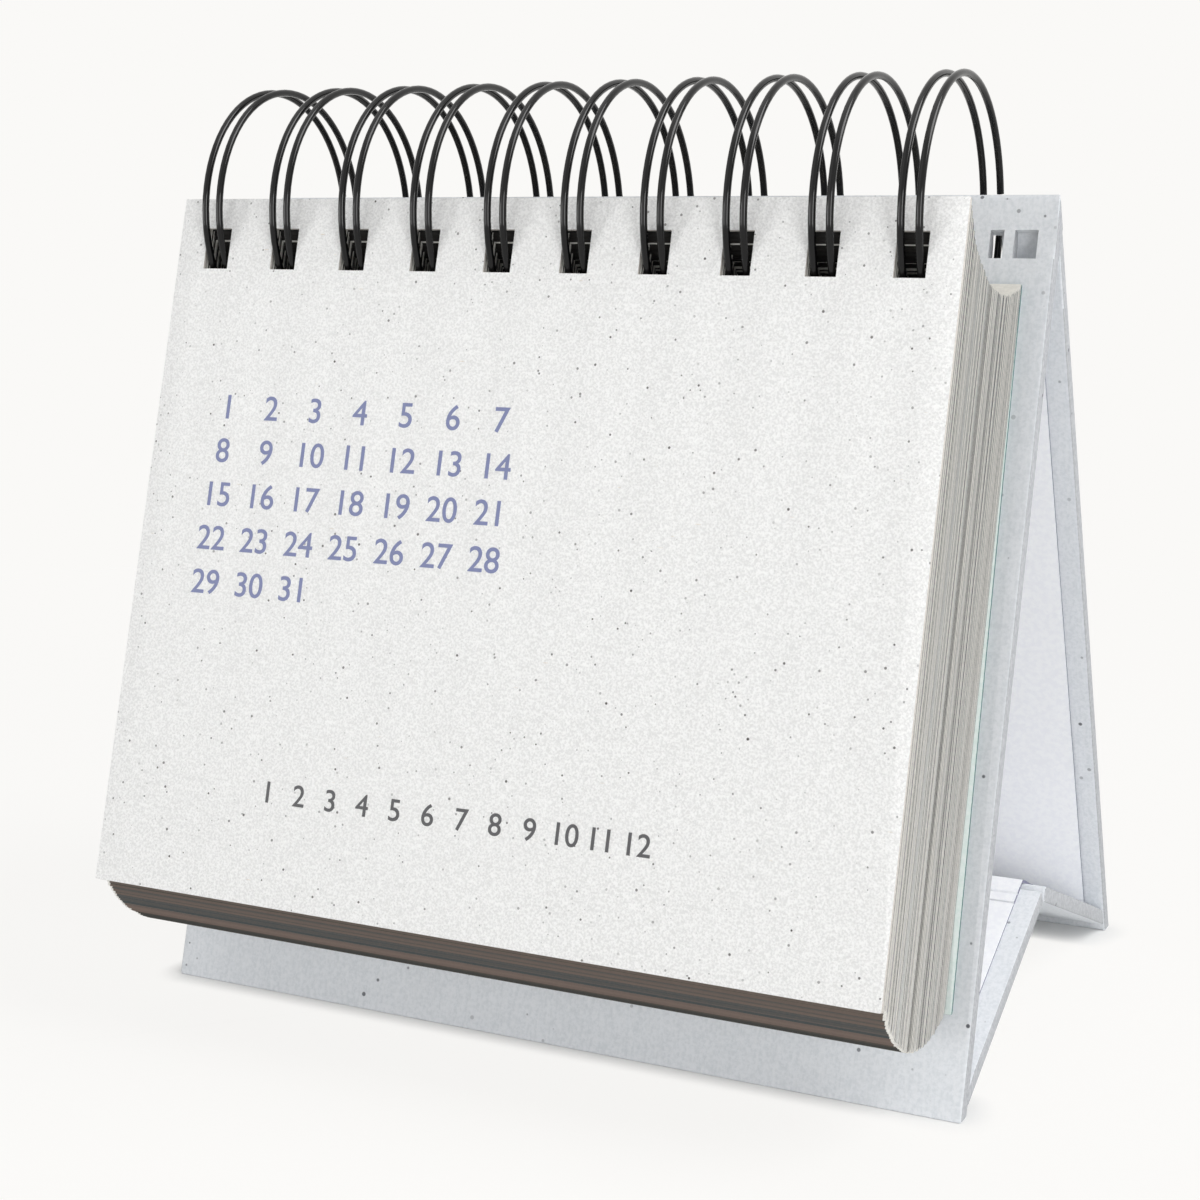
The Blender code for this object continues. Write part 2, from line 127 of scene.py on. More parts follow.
# Section geometry, in (y, z)
def heading(angle: float) -> Vector:
    """Unit vector in the section, turned up from +Y."""
    return Vector((math.cos(angle), math.sin(angle)))


def left_of(direction: Vector) -> Vector:
    """Direction turned a quarter turn to the left."""
    return Vector((-direction.y, direction.x))


@dataclass(frozen=True)
class Face:
    """A flat face in the section: its top corner, the way down it and the way into what it covers."""

    top: Vector
    down: Vector
    into: Vector

    def matrix(self) -> Matrix:
        """Place the face's own (x, depth, minus drop) in the calendar."""
        return Matrix((
            (1, 0, 0, 0),
            (0, self.into.x, -self.down.x, self.top.x),
            (0, self.into.y, -self.down.y, self.top.y),
            (0, 0, 0, 1),
        ))

    def at(self, drop: float, depth: float = 0.0) -> Vector:
        """Section point at a drop down the face and a depth behind it."""
        return self.top + self.down * drop + self.into * depth

    def drop_of(self, point: Vector) -> float:
        """Drop of a section point down the face."""
        return (point - self.top).dot(self.down)


@dataclass(frozen=True)
class Layout:
    """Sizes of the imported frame, and the section worked out from them."""

    cover_width: float = 129.0 * MM
    cover_height: float = 109.0 * MM
    cover_thickness: float = 0.8 * MM
    cover_clearance: float = 25.0 * MM
    leaf_inset: float = 0.1 * MM
    leaf_shorter: float = 2.3 * MM
    pack_count: int = 12
    pack_thickness: float = 2.15 * MM
    back_sheet_thickness: float = 0.5 * MM
    sheet_corner: float = 0.25 * MM
    lean: float = math.radians(15.7)
    slot_pitch: float = 12.7 * MM
    slot_count: int = 10
    slot_width: float = 4.5 * MM
    slot_edge: float = 4.8 * MM
    slot_height: float = 6.45 * MM
    leaf_slot_edge: float = 3.9 * MM
    leaf_slot_height: float = 8.65 * MM
    rear_sag: float = 1.2 * MM
    leaf_hang: float = 9.5 * MM
    wire_diameter: float = 1.1 * MM
    twin_spacing: float = 2.6 * MM
    ring_front_reach: float = 3.05 * MM
    ring_rear_reach: float = 5.7 * MM
    ring_centre_rise: float = 1.8 * MM
    easel_margin: float = 4.1 * MM
    board: float = 2.2 * MM
    back_tilt: float = math.radians(23.8)
    front_flap_length: float = 47.9 * MM
    crest_height: float = 19.9 * MM
    rear_flap_gap: float = 7.0 * MM
    turn_in: float = 3.5 * MM
    fit: float = 0.3 * MM

    @property
    def leaf_width(self) -> float:
        """Width of the leaves and the last sheet."""
        return self.cover_width - 2 * self.leaf_inset

    @property
    def leaf_height(self) -> float:
        """Height of the leaves and the last sheet."""
        return self.cover_height - self.leaf_shorter

    @property
    def easel_width(self) -> float:
        """Width of the boards."""
        return self.cover_width + 2 * self.easel_margin

    @property
    def stack_depth(self) -> float:
        """Depth from the cover's front to the front board's face."""
        packs = self.pack_count * (self.pack_thickness + self.fit)
        return self.cover_thickness + self.back_sheet_thickness + packs + 2 * self.fit

    @property
    def ridge(self) -> Vector:
        """Where the outer faces of the two tall boards meet.

        Returns:
            The ridge as (y, z), with the calendar centred in depth.
        """
        height = self.cover_height * math.cos(self.lean) + self.cover_clearance
        front = self.stack_depth / math.cos(self.lean) + self.cover_height * math.sin(self.lean)
        back = height * math.tan(self.back_tilt)
        return Vector(((front - back) / 2, height))

    @property
    def front_face(self) -> Face:
        """Outer face of the front board, from the ridge."""
        down = heading(-math.pi / 2 - self.lean)
        return Face(self.ridge, down, left_of(down))

    @property
    def cover_face(self) -> Face:
        """Front of the cover, from its top edge."""
        forward = Vector((self.stack_depth / math.cos(self.lean), 0))
        return Face(self.ridge - forward, self.front_face.down, self.front_face.into)

    @property
    def back_face(self) -> Face:
        """Outer face of the back board, from the ridge."""
        down = heading(-math.pi / 2 + self.back_tilt)
        return Face(self.ridge, down, -left_of(down))

    @property
    def half_opening(self) -> float:
        """Half the angle between the tall boards."""
        return (self.lean + self.back_tilt) / 2

    @property
    def front_foot(self) -> Vector:
        """Where the front board's face meets the table."""
        return self.front_face.at(self.ridge.y / math.cos(self.lean))

    @property
    def back_foot(self) -> Vector:
        """Where the back board's face meets the table."""
        return self.back_face.at(self.ridge.y / math.cos(self.back_tilt))

    @property
    def crest(self) -> Vector:
        """Underside of the crest between the base flaps."""
        run = math.sqrt(self.front_flap_length ** 2 - self.crest_height ** 2)
        return self.front_foot + Vector((run, self.crest_height))

    @property
    def front_flap_face(self) -> Face:
        """Underside of the front flap, from the front foot up to the crest."""
        along = (self.crest - self.front_foot).normalized()
        return Face(self.front_foot, along, left_of(along))

    @property
    def rear_flap_face(self) -> Face:
        """Underside of the rear flap, from the crest down to the back foot."""
        along = (self.back_foot - self.crest).normalized()
        return Face(self.crest, along, left_of(along))

    def inner_corner(self, corner: Vector, first: Vector, second: Vector, thickness: float) -> Vector:
        """Where two boards' inner faces meet.

        Args:
            corner: Where their outer faces meet.
            first: Way along the first board from the corner.
            second: Way along the second board from the corner.
            thickness: Thickness of both boards.

        Returns:
            The inner corner as (y, z).
        """
        half = math.acos(first.dot(second)) / 2
        return corner + (first + second).normalized() * (thickness / math.sin(half))

    @property
    def front_pivot(self) -> Vector:
        """Hinge line of the front flap."""
        return self.inner_corner(self.front_foot, -self.front_face.down, self.front_flap_face.down, self.board)

    @property
    def rear_corner(self) -> Vector:
        """Inner corner between the rear flap and the back board."""
        return self.inner_corner(self.back_foot, -self.back_face.down, -self.rear_flap_face.down, self.board)

    @property
    def rear_flap_end(self) -> float:
        """Drop at which the rear flap ends, short of the back board."""
        return self.rear_flap_face.drop_of(self.rear_corner) - self.rear_flap_gap

    @property
    def ring_radius(self) -> float:
        """Radius of the wire's middle line."""
        return (self.ring_front_reach + self.stack_depth + self.ring_rear_reach) / 2

    @property
    def ring_depth(self) -> float:
        """Depth of the ring's middle behind the cover's front."""
        return self.ring_radius - self.ring_front_reach

    @property
    def ring_centre(self) -> Vector:
        """Middle of the ring."""
        return self.cover_face.at(-self.ring_centre_rise, self.ring_depth)

    def wire_drop(self, depth: float) -> float:
        """Drop of the wire's middle below the cover's top edge, at a depth behind the cover's front."""
        return math.sqrt(self.ring_radius ** 2 - (depth - self.ring_depth) ** 2) - self.ring_centre_rise

    def leaf_drop(self, depth: float) -> float:
        """Drop of a leaf's top edge: it hangs from the wire, and the rear leaves sag against the board."""
        behind = max(0.0, (depth - self.ring_depth) / (self.stack_depth - self.ring_depth))
        return self.wire_drop(depth) - self.leaf_hang + self.rear_sag * behind ** 2

    @property
    def loop_places(self) -> list[float]:
        """Places of the loops across the width."""
        return [(i - (self.slot_count - 1) / 2) * self.slot_pitch for i in range(self.slot_count)]


LAYOUT = Layout()


# Shader tools
def linear(code: str) -> tuple[float, float, float, float]:
    """Turn an sRGB hex colour to linear.

    Args:
        code: Colour such as "#D0D1D4".

    Returns:
        Linear red, green, blue and an alpha of one.
    """
    shares = [int(code[i:i + 2], 16) / 255 for i in (1, 3, 5)]
    red, green, blue = (s / 12.92 if s <= 0.04045 else ((s + 0.055) / 1.055) ** 2.4 for s in shares)
    return red, green, blue, 1.0


def add_node(tree: bpy.types.NodeTree, kind: str, inputs: dict[Any, Any] | None = None,
             **settings: Any) -> bpy.types.Node:
    """Add a shader node with its settings and links.

    Args:
        tree: Node tree that takes the node.
        kind: Node type's identifier.
        inputs: Input name or number to a value, or to the output socket that feeds it.
        settings: Properties of the node.

    Returns:
        The new node.
    """
    made = tree.nodes.new(kind)
    for key, value in settings.items():
        setattr(made, key, value)
    for key, value in (inputs or {}).items():
        if isinstance(value, bpy.types.NodeSocket):
            tree.links.new(value, made.inputs[key])
        else:
            made.inputs[key].default_value = value
    return made


def new_material(name: str) -> tuple[bpy.types.Material, bpy.types.NodeTree, bpy.types.Node]:
    """Start a Principled material.

    Args:
        name: Name of the finish.

    Returns:
        The material, its node tree and its shader node.
    """
    material = bpy.data.materials.new(name)
    material.use_nodes = True
    tree = material.node_tree
    return material, tree, tree.nodes["Principled BSDF"]


def speck_mask(tree: bpy.types.NodeTree, where: bpy.types.NodeSocket, cell: float, radius: float, share: float,
               stretch: tuple[float, float, float] = (1, 1, 1)) -> bpy.types.NodeSocket:
    """Mask of scattered specks in a paper.

    Args:
        tree: Node tree to add to.
        where: Object coordinates.
        cell: Mean spacing of the grains that may become specks.
        radius: Radius of the largest speck.
        share: Share of the grains that show.
        stretch: Scale along x, y and z, below one to draw specks out into fibres.

    Returns:
        Socket that is one inside a speck.
    """
    turned = add_node(tree, "ShaderNodeMapping", {"Vector": where, "Scale": stretch, "Rotation": SPECK_TURN})
    cells = add_node(tree, "ShaderNodeTexVoronoi", {"Vector": turned.outputs["Vector"], "Scale": 1 / cell})
    chance = add_node(tree, "ShaderNodeSeparateColor", {"Color": cells.outputs["Color"]})
    size = add_node(tree, "ShaderNodeMapRange", {
        "Value": chance.outputs["Red"], "From Min": 1 - share, "From Max": 1,
        "To Min": 0, "To Max": radius / cell})
    inside = add_node(tree, "ShaderNodeMath", {
        0: size.outputs["Result"], 1: cells.outputs["Distance"]}, operation="SUBTRACT")
    strength = add_node(tree, "ShaderNodeMapRange", {
        "Value": chance.outputs["Green"], "To Min": SPECK_FAINT, "To Max": 1.0})
    edge = add_node(tree, "ShaderNodeMapRange", {
        "Value": inside.outputs["Value"], "From Min": 0, "From Max": SPECK_FADE * radius / cell,
        "To Min": 0, "To Max": strength.outputs["Result"]})
    return edge.outputs["Result"]


@dataclass(frozen=True)
class FleckedStock:
    """Uncoated paper or card with flecks in its pulp. The felt leaves a soft grain, and gloss is low."""

    name: str
    pale: str
    deep: str
    fleck: str
    fibre: str
    grain: float = 0.6 * MM
    relief: float = 0.01 * MM
    cell: float = 5.0 * MM
    radius: float = 0.2 * MM
    share: float = 0.2
    fibre_share: float = 0.3
    fibre_width: float = 0.35
    fibre_strength: float = 0.55
    fibre_stretch: tuple[float, float, float] = (0.14, 1, 1)
    streak: float = 0.0
    streaked: str = "#ECEEF1"
    streak_stretch: tuple[float, float, float] = (1, 0.22, 0.22)

    def build(self) -> bpy.types.Material:
        """Make the material.

        Returns:
            The material.
        """
        material, tree, shader = new_material(self.name)
        where = add_node(tree, "ShaderNodeTexCoord").outputs["Object"]
        grain = add_node(tree, "ShaderNodeTexNoise", {
            "Vector": where, "Scale": 1 / self.grain, "Detail": 3, "Roughness": 0.6}).outputs["Fac"]
        tone = add_node(tree, "ShaderNodeMapRange", {"Value": grain, "From Min": 0.4, "From Max": 0.6})
        layers = [(tone.outputs["Result"], self.pale)]
        if self.streak:
            drawn = add_node(tree, "ShaderNodeMapping", {"Vector": where, "Scale": self.streak_stretch})
            hairs = add_node(tree, "ShaderNodeTexNoise", {
                "Vector": drawn.outputs["Vector"], "Scale": 1 / self.streak, "Detail": 2})
            shade = add_node(tree, "ShaderNodeMapRange", {
                "Value": hairs.outputs["Fac"], "From Min": 0.4, "From Max": 0.7, "To Min": 0, "To Max": 0.5})
            layers.append((shade.outputs["Result"], self.streaked))
        fibre = speck_mask(
            tree, where, self.cell, self.fibre_width * self.radius, self.fibre_share, self.fibre_stretch)
        soft = add_node(tree, "ShaderNodeMath", {0: fibre, 1: self.fibre_strength}, operation="MULTIPLY")
        fleck = speck_mask(tree, where, self.cell, self.radius, self.share)
        layers += [(soft.outputs["Value"], self.fibre), (fleck, self.fleck)]
        colour: Any = linear(self.deep)
        for mask, code in layers:
            colour = add_node(tree, "ShaderNodeMix", {
                MIX_SHARE: mask, MIX_FIRST: colour, MIX_SECOND: linear(code)},
                data_type="RGBA").outputs[MIX_RESULT]
        tree.links.new(colour, shader.inputs["Base Color"])
        bump = add_node(tree, "ShaderNodeBump", {"Height": grain, "Strength": 1.0, "Distance": self.relief})
        tree.links.new(bump.outputs["Normal"], shader.inputs["Normal"])
        shader.inputs["Roughness"].default_value = 0.82
        shader.inputs["Specular IOR Level"].default_value = 0.3
        return material


@dataclass(frozen=True)
class CutLeaves:
    """Guillotined text paper: each leaf shows its own tone at the cut, and a painted shade greys it higher up,
    towards the wire.

    The knife's burr is finer than a pixel, so it is drawn coarser, to show.
    """

    name: str
    attribute: str
    tones: tuple[str, ...]
    burr: float = 0.3
    burr_size: float = 0.45 * MM
    top_shade: float = 0.0
    top_shade_from: float = 25 * MM
    top_shade_to: float = 100 * MM
    shade_colour: str = "#4A4D50"

    def build(self) -> bpy.types.Material:
        """Make the material.

        Returns:
            The material.
        """
        material, tree, shader = new_material(self.name)
        where = add_node(tree, "ShaderNodeTexCoord").outputs["Object"]
        tone = add_node(tree, "ShaderNodeAttribute", attribute_name=self.attribute).outputs["Fac"]
        burr = add_node(tree, "ShaderNodeTexNoise", {"Vector": where, "Scale": 1 / self.burr_size, "Detail": 2})
        worn = add_node(tree, "ShaderNodeMath", {0: burr.outputs["Fac"], 1: 0.5}, operation="SUBTRACT")
        uneven = add_node(tree, "ShaderNodeMath", {
            0: worn.outputs["Value"], 1: self.burr, 2: tone}, operation="MULTIPLY_ADD")
        ramp = add_node(tree, "ShaderNodeValToRGB", {"Fac": uneven.outputs["Value"]})
        stops = ramp.color_ramp.elements
        stops[0].color = linear(self.tones[0])
        stops[1].color = linear(self.tones[-1])
        for i, code in enumerate(self.tones[1:-1], 1):
            stops.new(i / (len(self.tones) - 1)).color = linear(code)
        # Painted shade: the cut sides turn greyer with height, towards the wire
        height = add_node(tree, "ShaderNodeSeparateXYZ", {"Vector": where}).outputs["Z"]
        shade_share = add_node(tree, "ShaderNodeMapRange", {
            "Value": height, "From Min": self.top_shade_from, "From Max": self.top_shade_to,
            "To Min": 0.0, "To Max": self.top_shade})
        greyed = add_node(tree, "ShaderNodeMix", {
            MIX_SHARE: shade_share.outputs["Result"], MIX_FIRST: ramp.outputs["Color"],
            MIX_SECOND: linear(self.shade_colour)}, data_type="RGBA")
        tree.links.new(greyed.outputs[MIX_RESULT], shader.inputs["Base Color"])
        shader.inputs["Roughness"].default_value = 0.9
        shader.inputs["Specular IOR Level"].default_value = 0.2
        return material


@dataclass(frozen=True)
class CoatedWire:
    """Steel wire in a black nylon coat: a dark body, a soft streak of light and ripples from the dipping."""

    name: str = "black_nylon_coated_wire"
    body: str = "#020203"
    worn: str = "#070708"
    ripple: float = 2.5 * MM

    def build(self) -> bpy.types.Material:
        """Make the material.

        Returns:
            The material.
        """
        material, tree, shader = new_material(self.name)
        where = add_node(tree, "ShaderNodeTexCoord").outputs["Object"]
        ripple = add_node(tree, "ShaderNodeTexNoise", {
            "Vector": where, "Scale": 1 / self.ripple, "Detail": 2}).outputs["Fac"]
        colour = add_node(tree, "ShaderNodeMix", {
            MIX_SHARE: ripple, MIX_FIRST: linear(self.body), MIX_SECOND: linear(self.worn)}, data_type="RGBA")
        tree.links.new(colour.outputs[MIX_RESULT], shader.inputs["Base Color"])
        rough = add_node(tree, "ShaderNodeMapRange", {"Value": ripple, "To Min": 0.07, "To Max": 0.15})
        tree.links.new(rough.outputs["Result"], shader.inputs["Roughness"])
        shader.inputs["Specular IOR Level"].default_value = 0.32
        return material


@dataclass(frozen=True)
class PuffInk:
    """Raised screen ink: an even satin colour with a faint tooth from the mesh."""

    name: str
    colour: str
    shade: str
    tooth: float = 0.5 * MM

    def build(self) -> bpy.types.Material:
        """Make the material.

        Returns:
            The material.
        """
        material, tree, shader = new_material(self.name)
        where = add_node(tree, "ShaderNodeTexCoord").outputs["Object"]
        tooth = add_node(tree, "ShaderNodeTexNoise", {"Vector": where, "Scale": 1 / self.tooth, "Detail": 1})
        colour = add_node(tree, "ShaderNodeMix", {
            MIX_SHARE: tooth.outputs["Fac"], MIX_FIRST: linear(self.colour), MIX_SECOND: linear(self.shade)},
            data_type="RGBA")
        tree.links.new(colour.outputs[MIX_RESULT], shader.inputs["Base Color"])
        shader.inputs["Roughness"].default_value = 0.55
        return material


Finish = FleckedStock | CutLeaves | CoatedWire | PuffInk

# Pressed between felts: a tight pebbled grain, close dark flecks and straw-coloured fibres
COVER_CARD = FleckedStock(
    "felt_marked_flecked_card", "#F9F9F8", "#E5E5E4", "#45403E", "#C9B089", grain=0.34 * MM, relief=0.1 * MM,
    cell=0.95 * MM, radius=0.24 * MM, share=0.45, fibre_share=0.4)
# The card's cut edge is painted darker, as painted shade, and matt
CARD_RIM_SHADE = FleckedStock(
    "shaded_cut_card_edge", "#D2CEC8", "#C3BFB9", "#8A857F", "#B4AA9A", grain=0.4 * MM, relief=0.02 * MM,
    cell=2.0 * MM, radius=0.15 * MM, share=0.3)
# Recycled pulp: cool grey, faintly streaked, with loose dark specks
GREY_WRAP = FleckedStock(
    "grey_recycled_wrap_paper", "#E6E9ED", "#DBDFE3", "#585A60", "#85878D", relief=0.015 * MM,
    cell=2.3 * MM, radius=0.42 * MM, share=0.6, fibre_share=0.5, streak=0.5 * MM)
# The wrap folded round a board's end is painted darker, as painted shade
WRAP_EDGE_SHADE = FleckedStock(
    "shaded_wrap_edge", "#BABCBF", "#ABADB1", "#55575D", "#85878D", relief=0.02 * MM,
    cell=2.6 * MM, radius=0.4 * MM, share=0.35, fibre_share=0.4)
# Smooth bleached paper, almost without flecks
WHITE_LINING = FleckedStock(
    "white_lining_paper", "#FAFBFD", "#F4F5F9", "#CDCED6", "#E0E0E8", grain=1.0 * MM, relief=0.015 * MM,
    cell=6.0 * MM)
# A pasted sheet's edge is a thin line of shade
LINING_RIM = FleckedStock("cut_lining_edge", "#85869A", "#77788D", "#6C6D85", "#9293A6", cell=6.0 * MM)
# Dyed in the pulp: a pale even tint, deeper where the edge is cut
MINT_PAPER = FleckedStock(
    "mint_dyed_paper", "#EBF4F1", "#E1EEEA", "#A9C6BF", "#BFD8D1", grain=0.8 * MM, relief=0.015 * MM)
MINT_RIM = FleckedStock("cut_mint_edge", "#4D7877", "#426B6B", "#385C5D", "#5C8A88")
# Plain text paper: warm white and even
LEAF_PAGE = FleckedStock(
    "uncoated_text_paper", "#EFEDE7", "#E6E4DE", "#CFCBC3", "#D8D4CB", grain=0.7 * MM, radius=0.15 * MM)
# Cut leaves show as fine grey lines, light and dark by the sheaf; the tones are painted darker than the paper as
# painted shade, and a painted shade greys them higher up, towards the wire
LEAF_SIDE = CutLeaves(
    "guillotined_paper_sides", "leaf_tone",
    ("#38393B", "#595D60", "#727071", "#959394", "#B8B6B6", "#A0A6A8", "#D3D0D0"), burr=0.14, top_shade=0.5)
# Ink that bleeds off the pages darkens the feet of the leaves, in a drift from month to month; the dark band at the
# foot is also painted shade, the shadow under the leaf in front
LEAF_FOOT_INK_AND_SHADE = CutLeaves(
    "inked_and_shaded_paper_feet", "foot_tone", ("#474845", "#74675F", "#485153", "#7D6E66", "#57524E"), burr=0.1)
# Painted shade: the walls of the slots, and a band of page above each, are painted near black for the shade deep in
# the punched stack
SLOT_SHADE = CutLeaves("shaded_punched_paper_walls", "leaf_tone", ("#232221", "#2E2C2A", "#262728"))


# Mesh tools
@dataclass(frozen=True)
class Hole:
    """Rectangular hole in a plate, by its sides across and its drops."""

    left: float
    right: float
    upper: float
    lower: float

    def holds(self, place: Vector) -> bool:
        """Tell whether a plate's cell lies in the hole."""
        return self.left < place.x < self.right and self.upper < -place.z < self.lower


def plate(width: float, height: float, thickness: float, holes: Sequence[Hole] = (),
          corner: float = 0.0) -> bmesh.types.BMesh:
    """Flat slab with rectangular holes, in a face's own frame.

    Args:
        width: Size across.
        height: Size down the face.
        thickness: Size into the face.
        holes: Holes right through.
        corner: Radius of the four corners.

    Returns:
        The slab, with its front at depth zero and its top at drop zero.
    """
    columns = sorted({-width / 2, width / 2, *(s for h in holes for s in (h.left, h.right))})
    rows = sorted({0.0, height, *(s for h in holes for s in (h.upper, h.lower))})
    shape = bmesh.new()
    bmesh.ops.create_grid(shape, x_segments=len(columns) - 1, y_segments=len(rows) - 1, size=1)
    for vert in shape.verts:
        across = columns[round((vert.co.x + 1) / 2 * (len(columns) - 1))]
        drop = rows[round((1 - vert.co.y) / 2 * (len(rows) - 1))]
        vert.co = (across, 0, -drop)
    punched = [f for f in shape.faces if any(h.holds(f.calc_center_median()) for h in holes)]
    bmesh.ops.delete(shape, geom=punched, context="FACES")
    if corner:
        ends = [v for v in shape.verts if abs(v.co.x) > width / 2 - TOUCH
                and (v.co.z > -TOUCH or v.co.z < TOUCH - height)]
        bmesh.ops.bevel(
            shape, geom=ends, offset=corner, segments=4, profile=0.5, affect="VERTICES", material=-1)
    thicken(shape, (0, thickness, 0))
    return shape


def thicken(shape: bmesh.types.BMesh, way: tuple[float, float, float]) -> None:
    """Draw a flat sheet out into a closed solid.

    Args:
        shape: Sheet to draw out.
        way: Way and distance.
    """
    grown = bmesh.ops.extrude_face_region(shape, geom=shape.faces[:])["geom"]
    bmesh.ops.translate(shape, verts=[g for g in grown if isinstance(g, bmesh.types.BMVert)], vec=way)
    bmesh.ops.recalc_face_normals(shape, faces=shape.faces)


def place(shape: bmesh.types.BMesh, face: Face) -> None:
    """Move a slab from a face's own frame to the calendar's, with its faces kept outwards.

    Args:
        shape: Slab to move.
        face: Face that it lies on.
    """
    matrix = face.matrix()
    shape.transform(matrix)
    if matrix.determinant() < 0:
        bmesh.ops.reverse_faces(shape, faces=shape.faces)
    shape.normal_update()


def mark_rim(shape: bmesh.types.BMesh) -> None:
    """Give the sides of a slab in a face's own frame the second finish."""
    for side in shape.faces:
        side.material_index = 0 if abs(side.normal.y) > FACING else 1


def mark_ends(shape: bmesh.types.BMesh) -> None:
    """Give the two ends of a strip or board the second finish."""
    for side in shape.faces:
        side.material_index = 1 if abs(side.normal.x) > FACING else 0


def square_edges(shape: bmesh.types.BMesh) -> list[bmesh.types.BMEdge]:
    """List a slab's square edges."""
    return [e for e in shape.edges if e.is_manifold and e.calc_face_angle() > SQUARE_EDGE]


def soften(shape: bmesh.types.BMesh, edges: Sequence[bmesh.types.BMEdge], width: float, segments: int = 2) -> None:
    """Round some edges of a slab.

    Args:
        shape: Slab to round.
        edges: Edges to round.
        width: Width of the rounding.
        segments: Facets across it.
    """
    bmesh.ops.bevel(
        shape, geom=edges, offset=width, segments=segments, profile=0.5, affect="EDGES", material=-1)


def saw(shape: bmesh.types.BMesh, point: Vector, normal: Vector, drops: bool) -> list[bmesh.types.BMEdge]:
    """Cut a shape along a plane.

    Args:
        shape: Shape to cut.
        point: Point of the plane.
        normal: Way towards the plane's outer side.
        drops: Whether the outer side falls off.

    Returns:
        Edges along the cut.
    """
    everything = shape.verts[:] + shape.edges[:] + shape.faces[:]
    cut = bmesh.ops.bisect_plane(
        shape, geom=everything, dist=CUT_REACH, plane_co=point, plane_no=normal, clear_outer=drops)
    return [g for g in cut["geom_cut"] if isinstance(g, bmesh.types.BMEdge)]


def slice_flat(shape: bmesh.types.BMesh, point: Vector, normal: Vector) -> None:
    """Saw off what lies beyond a plane, and close the cut.

    Args:
        shape: Solid to saw.
        point: Point of the plane.
        normal: Way towards the side that falls off.
    """
    rim = saw(shape, point, normal, True)
    bmesh.ops.edgeloop_fill(shape, edges=rim)
    bmesh.ops.recalc_face_normals(shape, faces=shape.faces)


def strip(line: Sequence[Vector], lifts: Sequence[tuple[float, float]], sides: Sequence[Vector],
          width: float) -> bmesh.types.BMesh:
    """Thin sheet bent along a section line.

    Args:
        line: Section points along the sheet.
        lifts: Inner and outer lift of the sheet's two faces at each point.
        sides: Way in which each point is lifted.
        width: Size across.

    Returns:
        The closed sheet, in the calendar's own frame.
    """
    shape = bmesh.new()
    lower = [shape.verts.new((-width / 2, *(p + s * low))) for p, s, (low, _) in zip(line, sides, lifts)]
    upper = [shape.verts.new((-width / 2, *(p + s * high))) for p, s, (_, high) in zip(line, sides, lifts)]
    for i in range(len(line) - 1):
        shape.faces.new((lower[i], lower[i + 1], upper[i + 1], upper[i]))
    thicken(shape, (width, 0, 0))
    return shape


def add_drawn(shape: bmesh.types.BMesh, data: bpy.types.Curve, matrix: Matrix) -> None:
    """Add a curve or a line of type to a shape, as a mesh.

    Args:
        shape: Shape that it is added to.
        data: Curve or type.
        matrix: Where it goes.
    """
    drawn = bpy.data.objects.new(data.name, data)
    bpy.context.scene.collection.objects.link(drawn)
    graph = bpy.context.evaluated_depsgraph_get()
    mesh = bpy.data.meshes.new_from_object(drawn.evaluated_get(graph))
    bpy.data.objects.remove(drawn, do_unlink=True)
    mesh.transform(matrix)
    shape.from_mesh(mesh)
    bpy.data.meshes.remove(mesh)


@dataclass
class Dresser:
    """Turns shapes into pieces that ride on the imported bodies."""

    materials: dict[str, bpy.types.Material] = field(default_factory=dict)

    def material(self, finish: Finish) -> bpy.types.Material:
        """Give a finish's material, made once.

        Args:
            finish: Finish to look up.

        Returns:
            The material.
        """
        if finish.name not in self.materials:
            self.materials[finish.name] = finish.build()
        return self.materials[finish.name]

    def piece(self, name: str, shape: bmesh.types.BMesh, finishes: Sequence[Finish], body: str | None, slot: Slot,
              nodes: Iterable[str] = (), smooth: bool = True) -> bpy.types.Object:
        """Make a piece from a shape.

        Args:
            name: Name of the piece.
            shape: Shape in the calendar's frame, freed here.
            finishes: Finish of the piece, and of its rim where that differs.
            body: Body that it rides on, or None where it is blended later.
            slot: Material slot of the record; not used.
            nodes: Frame nodes that it stands for.
            smooth: Whether its rounded edges are shaded smooth.

        Returns:
            The piece.
        """
        mesh = bpy.data.meshes.new(name)
        shape.to_mesh(mesh)
        shape.free()
        if smooth:
            mesh.shade_smooth()
            mesh.set_sharp_from_angle(angle=SMOOTH_UNDER)
        made = bpy.data.objects.new(name, mesh)
        bpy.context.scene.collection.objects.link(made)
        for finish in finishes:
            mesh.materials.append(self.material(finish))
        if body:
            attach(made, body)
        if nodes:
            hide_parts(*nodes)
        LOG.info("%s: %d faces", name, len(mesh.polygons))
        return made


